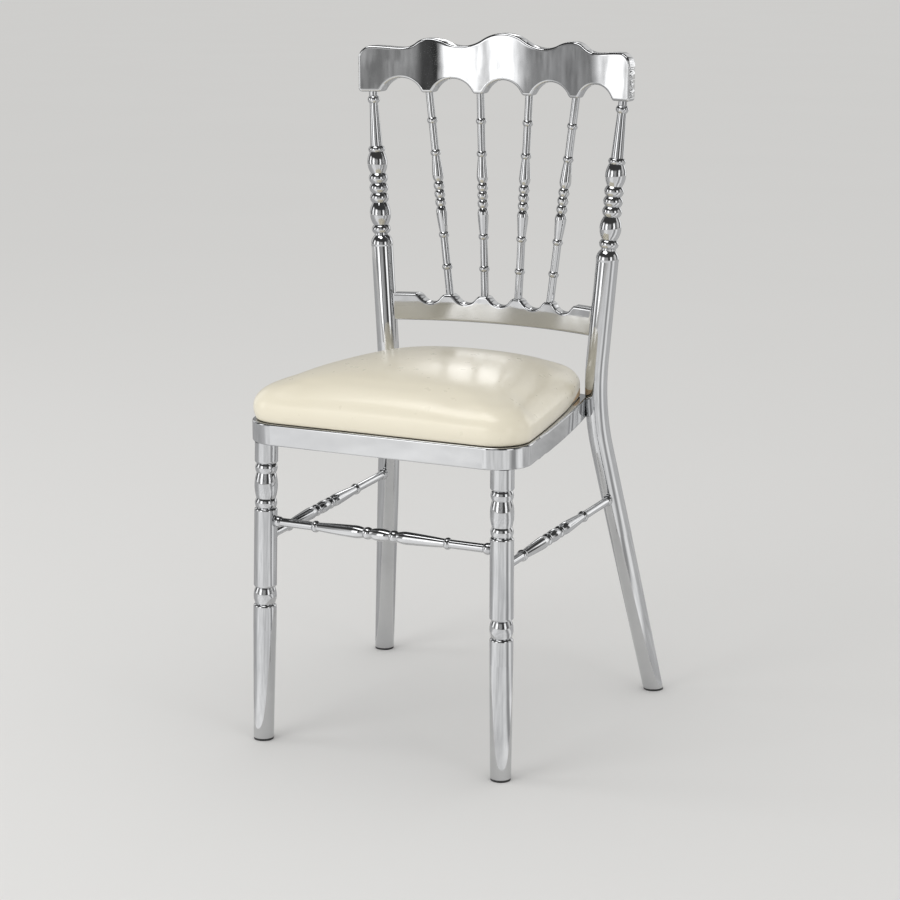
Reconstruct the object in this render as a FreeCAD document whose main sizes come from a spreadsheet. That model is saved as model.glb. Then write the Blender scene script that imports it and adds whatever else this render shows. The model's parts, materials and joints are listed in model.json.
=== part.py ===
import FreeCAD
import Part
import Sketcher
import math
import os
from FreeCAD import Placement, Rotation, Vector

# Chrome dining chair with beaded legs, turned spindles and a lift-off seat pad.
# Millimetres, +Z up, front faces -Y, origin on the floor at the middle of the footprint.

SIZES = {
    # Main tube of the legs and back posts
    "tube_dia": 30.0,
    "front_foot_dia": 26.5,
    "rear_foot_dia": 27.5,
    "foot_wall": 2.0,
    "front_bore_spare": 3.0,
    "rear_bore_spare": 6.0,
    "weld_gap": 0.05,
    # Front legs: spread and lean
    "front_leg_half_spacing": 166.6,
    "front_foot_half_spacing": 171.7,
    "front_leg_y": -196.8,
    "front_foot_y": -208.6,
    # Front leg turnings, heights above the floor
    "leg_groove_depth": 2.5,
    "leg_bead_drop": 0.6,
    "leg_shoulder": 3.5,
    "leg_top_bead_high": 370.0,
    "leg_top_bead_low": 357.5,
    "leg_barrel_low": 324.0,
    "leg_mid_bead_low": 311.5,
    "leg_ball_high": 206.0,
    "leg_ball_low": 183.5,
    "leg_taper_start": 150.0,
    # Back posts: one bent tube from the floor to the crest rail
    "rear_foot_half_spacing": 212.3,
    "rear_foot_y": 207.6,
    "bend_half_spacing": 152.7,
    "bend_y": 118.3,
    "bend_height": 414.8,
    "bend_radius": 380.0,
    "post_top_half_spacing": 183.6,
    "post_top_y": 131.3,
    "rear_taper_length": 240.0,
    # Back post turnings, distances below the crest rail
    "post_neck_dia": 11.8,
    "post_neck_length": 5.8,
    "post_collar_dia": 17.0,
    "post_collar_end": 15.8,
    "post_shaft_dia": 17.0,
    "post_shaft_end": 74.0,
    "post_cap_bead_dia": 23.0,
    "post_cap_bead_end": 82.0,
    "post_groove_dia": 20.0,
    "post_ovoid_dia": 27.5,
    "post_ovoid_end": 111.0,
    "post_bead_dia": 26.0,
    "post_bead_pitch": 13.4,
    "post_second_ovoid_dia": 29.0,
    "post_second_ovoid_length": 30.5,
    "post_last_bead_length": 11.5,
    "post_shoulder_gap": 2.5,
    "post_shoulder_length": 15.0,
    # Crest rail and lower back rail
    "crest_underside": 818.8,
    "crest_centre_rise": 81.2,
    "crest_hump_rise": 73.0,
    "crest_valley_rise": 63.0,
    "crest_dip_rise": 60.2,
    "crest_end_rise": 62.2,
    "crest_valley_at": 61.6,
    "crest_hump_at": 105.7,
    "crest_dip_at": 141.0,
    "crest_half_width": 198.4,
    "crest_shoulder_radius": 17.0,
    "crest_corner_radius": 4.5,
    "crest_arch_rise": 19.2,
    "crest_tooth_width": 14.0,
    "crest_post_flat": 27.0,
    "crest_thickness": 20.0,
    "crest_bow": 32.0,
    "crest_tooth_round": 3.0,
    "crest_edge_radius": 2.0,
    "rail_underside": 508.0,
    "rail_height": 37.0,
    "rail_notch_depth": 12.0,
    "rail_tooth_width": 15.0,
    "rail_end_notch": 32.6,
    "rail_thickness": 19.0,
    "rail_bow": 34.0,
    "rail_tooth_round": 3.0,
    "rail_edge_radius": 2.0,
    # Spindles between the two rails
    "spindle_top_spacing": 72.2,
    "spindle_foot_spacing": 50.2,
    "spindle_dia": 10.8,
    "spindle_ball_dia": 15.2,
    "spindle_ball_length": 11.4,
    "spindle_groove_dia": 10.4,
    "spindle_vase_dia": 15.6,
    "spindle_vase_swell": 9.0,
    "spindle_vase_length": 35.0,
    "spindle_ring_dia": 14.4,
    "spindle_ring_length": 8.0,
    "spindle_ring_gap": 36.0,
    # Stretchers
    "front_stretcher_height": 294.0,
    "side_stretcher_front_height": 271.0,
    "side_stretcher_rear_height": 284.0,
    "side_pattern_shift": 20.5,
    "stretcher_dia": 11.2,
    "stretcher_groove_dia": 12.4,
    "stretcher_barrel_dia": 16.6,
    "stretcher_barrel_length": 27.0,
    "stretcher_bead_dia": 16.0,
    "stretcher_bead_length": 10.5,
    "stretcher_vase_dia": 16.4,
    "stretcher_vase_swell": 14.0,
    "stretcher_vase_length": 66.0,
    "stretcher_ring_dia": 15.4,
    "stretcher_ring_length": 8.0,
    "stretcher_collar_dia": 15.0,
    "stretcher_collar_length": 9.0,
    "stretcher_collar_sink": 1.5,
    # Seat ring
    "ring_underside": 397.5,
    "ring_height": 28.0,
    "ring_width": 20.0,
    "ring_front_y": -218.3,
    "ring_front_flat": 149.0,
    "ring_corner_radius": 45.0,
    "ring_side_radius": 2900.0,
    "ring_rear_radius": 14.0,
    "ring_inner_rear_radius": 8.0,
    "ring_edge_radius": 2.5,
    "ring_post_lap": 1.5,
    # Corner tabs and touch fasteners under the pad
    "tab_thickness": 3.0,
    "tab_front_reach": 82.0,
    "tab_rear_reach": 68.0,
    "fastener_dia": 24.0,
    "fastener_thickness": 1.6,
    "fastener_inset": 6.0,
    # Seat pad
    "pad_gap": 0.6,
    "pad_inset": 3.0,
    "pad_height": 70.0,
    "cover_thickness": 1.2,
    "cover_lip": 30.0,
    "board_thickness": 10.0,
    "dust_cover_thickness": 0.6,
    "dust_cover_lap": 18.0,
    "pad_fit": 0.15,
    # Foot glides
    "glide_rim": 3.0,
    "glide_rim_inset": 0.4,
    "glide_plug_length": 22.0,
    "glide_fit": 0.15,
}

# Middle points of the drawn curves, as shares of a curve's run and depth
leg_shoulder_run = 0.35
leg_shoulder_depth = 0.3
post_shoulder_run = 0.32
post_shoulder_depth = 0.72
vase_rise_run = 0.42
vase_rise_depth = 0.75
vase_fall_run = 0.5
vase_fall_depth = 0.6

# Spare lengths that are cut away again
trim = 12.0
band_spare = 8.0
outline_spare = 40.0
tab_spare = 5.0
slab_half = 600.0

# Lengths below this count as none
hair = 0.01

# Where the spindles stand, in spacings from the middle
stations = (-1.5, -0.5, 0.5, 1.5)

# Seat pad section: share tucked under, height of the widest line, form of the crown, drawn levels
pad_tuck = 0.028
pad_widest = 0.27
crown_fullness = 2.0
crown_roundness = 0.38
pad_levels = (0.0, 0.07, 0.15, 0.27, 0.42, 0.56, 0.68, 0.78, 0.86, 0.92, 0.96, 0.985)

doc = FreeCAD.newDocument("DiningChair")
sheet = doc.addObject("Spreadsheet::Sheet", "Sizes")
for row, (alias, number) in enumerate(SIZES.items(), start=1):
    cell = "B%d" % row
    sheet.set("A%d" % row, alias)
    sheet.set(cell, str(number))
    sheet.setAlias(cell, alias)
doc.recompute()


def value_of(item):
    return item.value if isinstance(item, Size) else float(item)


def text_of(item):
    return item.text if isinstance(item, Size) else repr(float(item))


class Size:
    # A length together with the spreadsheet expression that it comes from.
    def __init__(self, value, text):
        self.value = float(value)
        self.text = text

    def joined(self, value, left, sign, right):
        return Size(value, "(%s %s %s)" % (text_of(left), sign, text_of(right)))

    def __add__(self, other):
        return self.joined(self.value + value_of(other), self, "+", other)

    def __radd__(self, other):
        return self.joined(value_of(other) + self.value, other, "+", self)

    def __sub__(self, other):
        return self.joined(self.value - value_of(other), self, "-", other)

    def __rsub__(self, other):
        return self.joined(value_of(other) - self.value, other, "-", self)

    def __mul__(self, other):
        return self.joined(self.value * value_of(other), self, "*", other)

    def __truediv__(self, other):
        return self.joined(self.value / value_of(other), self, "/", other)

    def __neg__(self):
        return Size(-self.value, "(0 - %s)" % self.text)


size = {alias: Size(sheet.get(alias), "Sizes." + alias) for alias in SIZES}
num = {alias: item.value for alias, item in size.items()}
nodes = []


def label(item, name):
    item.Label = name
    nodes.append(item)
    return item


def new_body(name):
    return doc.addObject("PartDesign::Body", name)


def origin_plane(body, role):
    return next(item for item in body.Origin.OriginFeatures if item.Role == role)


def new_sketch(body, name, role, offset=Placement()):
    sketch = body.newObject("Sketcher::SketchObject", name)
    sketch.AttachmentSupport = (origin_plane(body, role), [""])
    sketch.MapMode = "FlatFace"
    sketch.AttachmentOffset = offset
    return sketch


def arc_through(start, mid, end):
    # Arc from start over mid to end, and whether it runs anticlockwise.
    first = Vector(start[0], start[1], 0)
    middle = Vector(mid[0], mid[1], 0)
    last = Vector(end[0], end[1], 0)
    turn = (middle - first).cross(last - middle).z
    circle = Part.Circle(first, middle, last)
    centre = circle.Center
    ends = (first, last) if turn > 0 else (last, first)
    angles = [math.atan2(point.y - centre.y, point.x - centre.x) for point in ends]
    if angles[1] < angles[0]:
        angles[1] += 2 * math.pi
    flat = Part.Circle(centre, Vector(0, 0, 1), circle.Radius)
    return Part.ArcOfCircle(flat, angles[0], angles[1]), turn > 0


def draw(sketch, start, path):
    # Closed outline: each step is (x, y) for a line or (x, y, mid_x, mid_y) for an arc.
    points = [start] + [step[:2] for step in path]
    plain = [(value_of(x), value_of(y)) for x, y in points]
    geometry = []
    heads = []
    tails = []
    mids = []
    for index, step in enumerate(path):
        begin = plain[index]
        finish = plain[index + 1]
        if len(step) == 2:
            geometry.append(Part.LineSegment(Vector(*begin, 0), Vector(*finish, 0)))
            heads.append(1)
            tails.append(2)
            continue
        arc, forward = arc_through(begin, (value_of(step[2]), value_of(step[3])), finish)
        geometry.append(arc)
        heads.append(1 if forward else 2)
        tails.append(2 if forward else 1)
        mids.append((index, step[2], step[3]))
    first = sketch.GeometryCount
    sketch.addGeometry(geometry, False)
    rules = []
    bound = []
    count = len(path)

    def pin(kind, element, place, target):
        if not isinstance(target, Size) and float(target) == 0.0:
            axis = -2 if kind == "DistanceX" else -1
            rules.append(Sketcher.Constraint("PointOnObject", element, place, axis))
            return
        if isinstance(target, Size):
            bound.append((len(rules), target.text))
        rules.append(Sketcher.Constraint(kind, -1, 1, element, place, value_of(target)))

    for index in range(count):
        following = (index + 1) % count
        rules.append(Sketcher.Constraint(
            "Coincident", first + index, tails[index], first + following, heads[following]))
        pin("DistanceX", first + index, heads[index], points[index][0])
        pin("DistanceY", first + index, heads[index], points[index][1])
    marks = [Part.Point(Vector(value_of(x), value_of(y), 0)) for _, x, y in mids]
    if marks:
        sketch.addGeometry(marks, True)
    for order, (index, x, y) in enumerate(mids):
        mark = first + count + order
        rules.append(Sketcher.Constraint("PointOnObject", mark, 1, first + index))
        pin("DistanceX", mark, 1, x)
        pin("DistanceY", mark, 1, y)
    base = sketch.ConstraintCount
    sketch.addConstraint(rules)
    for order, text in bound:
        sketch.setExpression("Constraints[%d]" % (base + order), text)
    return sketch


def bead(high, low, groove, crown):
    # One bead of a turned profile, from its upper groove down to its lower groove.
    return (groove, low, crown, (high + low) / 2)


def pad_feature(body, sketch, length, name):
    pad = body.newObject("PartDesign::Pad", name)
    pad.Profile = sketch
    pad.Length = value_of(length)
    if isinstance(length, Size):
        pad.setExpression("Length", length.text)
    return pad


def turn_feature(body, sketch, name):
    turned = body.newObject("PartDesign::Revolution", name)
    turned.Profile = sketch
    turned.ReferenceAxis = (sketch, ["V_Axis"])
    turned.Angle = 360.0
    return turned


def along(start, end, lean=None):
    # Placement whose local Z runs from start to end, local X towards lean.
    main = (end - start).normalize()
    hint = lean if lean is not None else Vector(0, 1, 0)
    across = (hint - main * hint.dot(main)).normalize()
    return Placement(start, Rotation(across, main.cross(across), main, "ZXY"))


def slab(name, low, high):
    # Wide level block between two heights.
    box = doc.addObject("Part::Box", name)
    box.Length = 2 * slab_half
    box.Width = 2 * slab_half
    box.Height = value_of(high) - value_of(low)
    box.setExpression("Height", text_of(high - low))
    box.Placement = Placement(Vector(-slab_half, -slab_half, value_of(low)), Rotation())
    if isinstance(low, Size):
        box.setExpression("Placement.Base.z", low.text)
    return box


def rod(name, radius, length, place):
    cylinder = doc.addObject("Part::Cylinder", name)
    cylinder.Radius = value_of(radius)
    cylinder.setExpression("Radius", text_of(radius))
    cylinder.Height = length
    cylinder.Placement = place
    return cylinder


def common(name, base, tool):
    result = doc.addObject("Part::Common", name)
    result.Base = base
    result.Tool = tool
    return result


def cut(name, base, tool):
    result = doc.addObject("Part::Cut", name)
    result.Base = base
    result.Tool = tool
    return result


def at_height(low, high, level):
    return low + (high - low) * ((level - low.z) / (high.z - low.z))


# Skeleton of the frame
tube_radius = size["tube_dia"] / 2
ring_top = size["ring_underside"] + size["ring_height"]
crest_level = num["crest_underside"]
rail_top = size["rail_underside"] + size["rail_height"]
sides = (("left", -1), ("right", 1))


def front_axis(side):
    foot = Vector(side * num["front_foot_half_spacing"], num["front_foot_y"], 0)
    top = Vector(side * num["front_leg_half_spacing"], num["front_leg_y"], num["ring_underside"])
    return foot, top


def rear_axis(side):
    foot = Vector(side * num["rear_foot_half_spacing"], num["rear_foot_y"], 0)
    bend = Vector(side * num["bend_half_spacing"], num["bend_y"], num["bend_height"])
    top = Vector(side * num["post_top_half_spacing"], num["post_top_y"], crest_level)
    return foot, bend, top


right_foot, right_bend, right_top = rear_axis(1)
up_way = (right_top - right_bend).normalize()
down_way = (right_foot - right_bend).normalize()
bend_angle = math.pi - up_way.getAngle(down_way)
bend_run = num["bend_radius"] * math.tan(bend_angle / 2)
bend_out = num["bend_radius"] * (1 / math.cos(bend_angle / 2) - 1)
post_at_seat = right_bend + (up_way + down_way).normalize() * bend_out
post_length = (right_top - right_bend).Length
leg_length = (right_foot - right_bend).Length

# Front legs: turned tube, cut level at the seat ring and at the glide
leg_slab = slab("FrontLegSpan", size["glide_rim"], size["ring_underside"])


def front_leg(name, side):
    foot, top = front_axis(side)
    length = (top - foot).Length
    groove = tube_radius - size["leg_groove_depth"]
    crown = tube_radius - size["leg_bead_drop"]
    foot_radius = size["front_foot_dia"] / 2
    bore = foot_radius - size["foot_wall"]
    bore_top = size["glide_rim"] + size["glide_plug_length"] + size["front_bore_spare"]
    shoulder = size["leg_shoulder"]
    first = size["leg_top_bead_high"]
    second = size["leg_top_bead_low"]
    third = size["leg_barrel_low"]
    fourth = size["leg_mid_bead_low"]
    ball_high = size["leg_ball_high"]
    ball_low = size["leg_ball_low"]
    body = new_body(name + "_turning")
    sketch = new_sketch(body, name + "_profile", "XZ_Plane")

    def round_off(high, low, rising):
        # Quarter-round between the plain tube and a groove.
        share = leg_shoulder_run if rising else 1 - leg_shoulder_run
        return (tube_radius - size["leg_groove_depth"] * leg_shoulder_depth, low + (high - low) * share)

    path = [
        (tube_radius, length + trim),
        (tube_radius, first + shoulder),
        (groove, first) + round_off(first + shoulder, first, True),
        bead(first, second, groove, crown),
        bead(second, third, groove, tube_radius),
        bead(third, fourth, groove, crown),
        (tube_radius, fourth - shoulder) + round_off(fourth, fourth - shoulder, False),
        (tube_radius, ball_high + shoulder),
        (groove, ball_high) + round_off(ball_high + shoulder, ball_high, True),
        bead(ball_high, ball_low, groove, tube_radius),
        (tube_radius, ball_low - shoulder) + round_off(ball_low, ball_low - shoulder, False),
        (tube_radius, size["leg_taper_start"]),
        (foot_radius, 0.0),
        (foot_radius, -trim),
        (bore, -trim),
        (bore, bore_top),
        (0.0, bore_top),
        (0.0, length + trim),
    ]
    draw(sketch, (0.0, length + trim), path)
    turn_feature(body, sketch, name + "_turned")
    body.Placement = along(foot, top)
    return label(common(name + "_cut", body, leg_slab), name)


for side_name, side in sides:
    front_leg("front_leg_" + side_name, side)

# Back posts: plain bent leg below, turned post above, one piece
post_slab = slab("BackPostSpan", size["glide_rim"], size["crest_underside"])


def post_profile(top):
    # Turned outline from the crest rail down to the plain tube, on the post's axis.
    neck = size["post_neck_dia"] / 2
    groove = size["post_groove_dia"] / 2
    collar_high = top - size["post_neck_length"]
    collar_low = top - size["post_collar_end"]
    shaft_low = top - size["post_shaft_end"]
    cap_low = top - size["post_cap_bead_end"]
    ovoid_low = top - size["post_ovoid_end"]
    pitch = size["post_bead_pitch"]
    second_low = ovoid_low - pitch * 3 - size["post_second_ovoid_length"]
    last_low = second_low - size["post_last_bead_length"]
    shoulder_high = last_low - size["post_shoulder_gap"]
    shoulder_low = shoulder_high - size["post_shoulder_length"]
    shaft = size["post_shaft_dia"] / 2
    rim = groove + (tube_radius - groove) * post_shoulder_depth
    rim_level = shoulder_high - size["post_shoulder_length"] * post_shoulder_run
    path = [
        (neck, collar_high),
        bead(collar_high, collar_low, neck, size["post_collar_dia"] / 2),
        (shaft, shaft_low),
        bead(shaft_low, cap_low, groove, size["post_cap_bead_dia"] / 2),
        bead(cap_low, ovoid_low, groove, size["post_ovoid_dia"] / 2),
    ]
    for count in range(3):
        high = ovoid_low - pitch * count
        path.append(bead(high, high - pitch, groove, size["post_bead_dia"] / 2))
    path += [
        bead(ovoid_low - pitch * 3, second_low, groove, size["post_second_ovoid_dia"] / 2),
        bead(second_low, last_low, groove, size["post_bead_dia"] / 2),
        (groove, shoulder_high),
        (tube_radius, shoulder_low, rim, rim_level),
    ]
    return path


def back_post(name, side):
    foot, bend, top = rear_axis(side)
    lean = foot - bend
    body = new_body(name + "_tube")
    foot_radius = size["rear_foot_dia"] / 2
    bore = foot_radius - size["foot_wall"]
    bore_low = -leg_length + size["glide_rim"] + size["glide_plug_length"] + size["rear_bore_spare"]
    profile = post_profile(Size(post_length, repr(post_length)))
    taper_start = -leg_length + size["rear_taper_length"]

    upper = new_sketch(body, name + "_turning", "XZ_Plane")
    neck = size["post_neck_dia"] / 2
    path = [(neck, post_length + trim)] + profile
    path += [(tube_radius, bend_run), (0.0, bend_run), (0.0, post_length + trim)]
    draw(upper, (0.0, post_length + trim), path)
    turn_feature(body, upper, name + "_turned")

    ring_plane = Placement(Vector(0, 0, bend_run), Rotation())
    section = new_sketch(body, name + "_section", "XY_Plane", ring_plane)
    section.addGeometry(Part.Circle(Vector(0, 0, 0), Vector(0, 0, 1), tube_radius.value), False)
    section.addConstraint([
        Sketcher.Constraint("Coincident", 0, 3, -1, 1),
        Sketcher.Constraint("Radius", 0, tube_radius.value),
    ])
    section.setExpression("Constraints[1]", tube_radius.text)
    route = new_sketch(body, name + "_route", "XZ_Plane")
    low_x = bend_run * math.sin(bend_angle)
    low_z = -bend_run * math.cos(bend_angle)
    half = bend_angle / 2
    mid = (bend_out * math.cos(half), bend_out * math.sin(half))
    arc, _ = arc_through((0, bend_run), mid, (low_x, low_z))
    route.addGeometry(arc, False)
    doc.recompute()
    pipe = body.newObject("PartDesign::AdditivePipe", name + "_bend")
    pipe.Profile = section
    pipe.Spine = (route, ["Edge1"])

    tilted = Placement(Vector(), Rotation(Vector(0, 0, 1), math.degrees(bend_angle)))
    lower = new_sketch(body, name + "_lower", "XZ_Plane", tilted)
    draw(lower, (0.0, -bend_run), [
        (tube_radius, -bend_run),
        (tube_radius, taper_start),
        (foot_radius, -leg_length),
        (foot_radius, -leg_length - trim),
        (bore, -leg_length - trim),
        (bore, bore_low),
        (0.0, bore_low),
        (0.0, -bend_run),
    ])
    turn_feature(body, lower, name + "_leg")
    body.Placement = along(bend, top, lean)
    return label(common(name + "_cut", body, post_slab), name)


for side_name, side in sides:
    back_post("back_post_" + side_name, side)

# Seat ring: one hoop, coped against both back posts


def hoop_points(inset, rear_radius):
    # Corner, side and rear arcs of the seat outline, drawn in by inset. Right half.
    front = num["ring_front_y"] + inset
    corner = Vector(num["ring_front_flat"], num["ring_front_y"] + num["ring_corner_radius"], 0)
    corner_radius = num["ring_corner_radius"]
    side_radius = num["ring_side_radius"]
    touch = Vector(post_at_seat.x - tube_radius.value + num["ring_post_lap"], post_at_seat.y, 0)
    span = (touch - corner).Length
    reach = side_radius - corner_radius
    near = (reach ** 2 - side_radius ** 2 + span ** 2) / (2 * span)
    off = math.sqrt(reach ** 2 - near ** 2)
    way = (touch - corner) / span
    centre = corner + way * near + Vector(-way.y, way.x, 0) * off
    rear = post_at_seat.y + tube_radius.value - inset
    inner_side = side_radius - inset
    round_y = rear - rear_radius
    round_x = centre.x + math.sqrt((inner_side - rear_radius) ** 2 - (round_y - centre.y) ** 2)
    rear_centre = Vector(round_x, round_y, 0)
    corner_way = (corner - centre).normalize()
    rear_way = (rear_centre - centre).normalize()
    middle_way = (corner_way + rear_way).normalize()
    front_way = (corner_way + Vector(0, -1, 0)).normalize()
    back_way = (rear_way + Vector(0, 1, 0)).normalize()
    return [
        (Vector(num["ring_front_flat"], front, 0), None),
        (corner + corner_way * (corner_radius - inset), corner + front_way * (corner_radius - inset)),
        (centre + rear_way * inner_side, centre + middle_way * inner_side),
        (Vector(round_x, rear, 0), rear_centre + back_way * rear_radius),
    ]


def hoop(sketch, inset, rear_radius, scale=1.0):
    # Closed seat outline, drawn in by inset and scaled about the middle of the seat.
    half = hoop_points(value_of(inset), value_of(rear_radius))
    middle = (half[0][0].y + half[-1][0].y) / 2

    def place(point, mirror=1):
        return (mirror * point.x * scale, middle + (point.y - middle) * scale)

    path = []
    for point, mid in half:
        path.append(place(point) + (place(mid) if mid else ()))
    back = list(reversed(half))
    path.append(place(back[0][0], -1))
    for index in range(1, len(back)):
        path.append(place(back[index][0], -1) + place(back[index - 1][1], -1))
    return draw(sketch, place(half[0][0], -1), path)


def level(height):
    return Placement(Vector(0, 0, value_of(height)), Rotation())


def at_level(sketch, height):
    sketch.AttachmentOffset = level(height)
    sketch.setExpression("AttachmentOffset.Base.z", text_of(height))


ring_body = new_body("seat_ring_hoop")
ring_sketch = new_sketch(ring_body, "seat_ring_outline", "XY_Plane")
at_level(ring_sketch, size["ring_underside"])
hoop(ring_sketch, 0.0, size["ring_rear_radius"])
hoop(ring_sketch, size["ring_width"], size["ring_inner_rear_radius"])
ring_pad = pad_feature(ring_body, ring_sketch, size["ring_height"], "seat_ring_pad")
doc.recompute()
level_edges = ["Edge%d" % order for order, edge in enumerate(ring_pad.Shape.Edges, start=1)
               if edge.BoundBox.ZLength < hair]
ring_round = ring_body.newObject("PartDesign::Fillet", "seat_ring_edges")
ring_round.Base = (ring_pad, level_edges)
ring_round.Radius = num["ring_edge_radius"]
ring_round.setExpression("Radius", "Sizes.ring_edge_radius")
ring_shape = ring_body
for side_name, side in sides:
    foot, bend, top = rear_axis(side)
    above = (top - bend).normalize()
    below = (foot - bend).normalize()
    centre = bend + (above + below).normalize() * (num["bend_radius"] / math.cos(bend_angle / 2))
    cope = doc.addObject("Part::Torus", "post_cope_" + side_name)
    cope.Radius1 = num["bend_radius"]
    cope.Radius2 = tube_radius.value + num["weld_gap"]
    cope.setExpression("Radius1", "Sizes.bend_radius")
    cope.setExpression("Radius2", text_of(tube_radius + size["weld_gap"]))
    cope.Placement = Placement(centre, Rotation(Vector(0, 0, 1), above.cross(below)))
    ring_shape = cut("seat_ring_coped_" + side_name, ring_shape, cope)
label(ring_shape, "seat_ring")

# Turned rods: spindles and stretchers share one way of drawing their beads


def turned_path(steps, centre_crown, high_end, low_end, end_radius, ends):
    # steps run outwards from the middle bead as (radius, distance, mid radius, mid distance);
    # the same steps are mirrored about the middle. ends are the collars at both tips.
    path = [(end_radius, high_end)] + ends[0]
    path.append(steps[-1][:2])
    for index in range(len(steps) - 1, 0, -1):
        path.append(steps[index - 1][:2] + steps[index][2:])
    path.append((steps[0][0], -steps[0][1], centre_crown, 0.0))
    for step in steps[1:]:
        mirrored = (step[2], -step[3]) if len(step) > 2 else ()
        path.append((step[0], -step[1]) + mirrored)
    path += ends[1]
    path += [(end_radius, low_end), (0.0, low_end), (0.0, high_end)]
    return path


def vase_steps(groove, plain, crown, start, swell, length):
    # A vase swells quickly from the groove and tapers slowly out to the plain rod.
    peak = start + swell
    finish = start + length
    rise = (crown, peak, groove + (crown - groove) * vase_rise_depth, start + swell * vase_rise_run)
    fall = (plain, finish, plain + (crown - plain) * vase_fall_depth,
            peak + (finish - peak) * vase_fall_run)
    return [rise, fall]


def turned_rod(name, start, end, middle, steps, centre_crown, end_radius, ends):
    body = new_body(name + "_turning")
    sketch = new_sketch(body, name + "_profile", "XZ_Plane")
    high = (end - middle).Length
    low = -(start - middle).Length
    path = turned_path(steps, centre_crown, high, low, end_radius, ends)
    draw(sketch, (0.0, high), path)
    turn_feature(body, sketch, name + "_turned")
    place = along(start, end)
    place.Base = middle
    body.Placement = place
    return body


def stretcher_steps():
    groove = size["stretcher_groove_dia"] / 2
    plain = size["stretcher_dia"] / 2
    barrel = size["stretcher_barrel_length"] / 2
    bead_end = barrel + size["stretcher_bead_length"]
    vase = vase_steps(groove, plain, size["stretcher_vase_dia"] / 2, bead_end,
                      size["stretcher_vase_swell"], size["stretcher_vase_length"])
    vase_end = vase[-1][1]
    ring_end = vase_end + size["stretcher_ring_length"]
    ring_crown = size["stretcher_ring_dia"] / 2
    bead_crown = size["stretcher_bead_dia"] / 2
    return [
        (groove, barrel),
        (groove, bead_end, bead_crown, (barrel + bead_end) / 2),
    ] + vase + [
        (plain, ring_end, ring_crown, (vase_end + ring_end) / 2),
    ]


def collar(end, sign):
    # Small bead beside the leg, drawn outwards-in at the upper tip and inwards-out at the lower.
    plain = size["stretcher_dia"] / 2
    crown = size["stretcher_collar_dia"] / 2
    near = (Size(end, repr(end)) - tube_radius + size["stretcher_collar_sink"]) * sign
    far = (Size(end, repr(end)) - tube_radius - size["stretcher_collar_length"]) * sign
    middle = (near + far) / 2
    if sign > 0:
        return [(plain, near), (plain, far, crown, middle)]
    return [(plain, far), (plain, near, crown, middle)]


def stretcher(name, start, end, shift, copes):
    middle = (start + end) * 0.5 - (end - start).normalize() * shift
    high = (end - middle).Length
    low = (middle - start).Length
    ends = (collar(high, 1), collar(low, -1))
    shape = turned_rod(name, start, end, middle, stretcher_steps(),
                       size["stretcher_barrel_dia"] / 2, size["stretcher_dia"] / 2, ends)
    for order, (low_point, high_point) in enumerate(copes):
        tool = rod("%s_cope_%d" % (name, order + 1), tube_radius + size["weld_gap"],
                   (high_point - low_point).Length, along(low_point, high_point))
        shape = cut("%s_coped_%d" % (name, order + 1), shape, tool)
    return label(shape, name)


def front_point(side, height):
    return at_height(*front_axis(side), height)


def rear_point(side, height):
    foot, bend, _ = rear_axis(side)
    return at_height(foot, bend, height)


front_ends = [front_point(side, num["front_stretcher_height"]) for side in (-1, 1)]
stretcher("front_stretcher", front_ends[0], front_ends[1], 0.0,
          [front_axis(-1), front_axis(1)])
for side_name, side in sides:
    stretcher("side_stretcher_" + side_name,
              front_point(side, num["side_stretcher_front_height"]),
              rear_point(side, num["side_stretcher_rear_height"]),
              num["side_pattern_shift"],
              [front_axis(side), rear_axis(side)[:2]])

# Rails: a band bowed in plan, trimmed to its scalloped outline seen from the front


class Bow:
    # Plan arc through both posts, its middle further back by the bow.
    def __init__(self, post, bow):
        self.radius = (post.x ** 2 + bow ** 2) / (2 * bow)
        self.centre = post.y + bow - self.radius

    def y_at(self, x):
        return self.centre + math.sqrt(self.radius ** 2 - x ** 2)


crest_arc = Bow(right_top, num["crest_bow"])
rail_middle = at_height(right_bend, right_top, num["rail_underside"] + num["rail_height"] / 2)
rail_arc = Bow(rail_middle, num["rail_bow"])


def band(body, name, bow, thickness, half, low, high):
    # Bowed strip of even thickness, a little longer and higher than the rail.
    inner = bow.radius - thickness / 2
    outer = bow.radius + thickness / 2
    swing = math.asin((half + band_spare) / inner)
    tip = Vector(math.sin(swing), math.cos(swing), 0)

    def spot(radius, mirror):
        return (mirror * tip.x * radius, bow.centre + tip.y * radius)

    sketch = new_sketch(body, name + "_plan", "XY_Plane")
    at_level(sketch, low - band_spare)
    draw(sketch, spot(inner, -1), [
        spot(inner, 1) + (0.0, bow.centre + inner),
        spot(outer, 1),
        spot(outer, -1) + (0.0, bow.centre + outer),
        spot(inner, -1),
    ])
    return pad_feature(body, sketch, high - low + 2 * band_spare, name + "_band")


def trim_to(body, name, outline, start, half, low, high):
    # Removes all of the band that lies outside the front-view outline.
    sketch = new_sketch(body, name + "_front", "XZ_Plane")
    wide = half + outline_spare
    base = low.value - outline_spare
    top = high.value + outline_spare
    draw(sketch, (-wide, base), [(wide, base), (wide, top), (-wide, top), (-wide, base)])
    draw(sketch, start, outline)
    doc.recompute()
    trimmed = body.newObject("PartDesign::Pocket", name + "_trim")
    trimmed.Profile = sketch
    trimmed.Type = "ThroughAll"
    trimmed.Midplane = True
    doc.recompute()
    return trimmed


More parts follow.
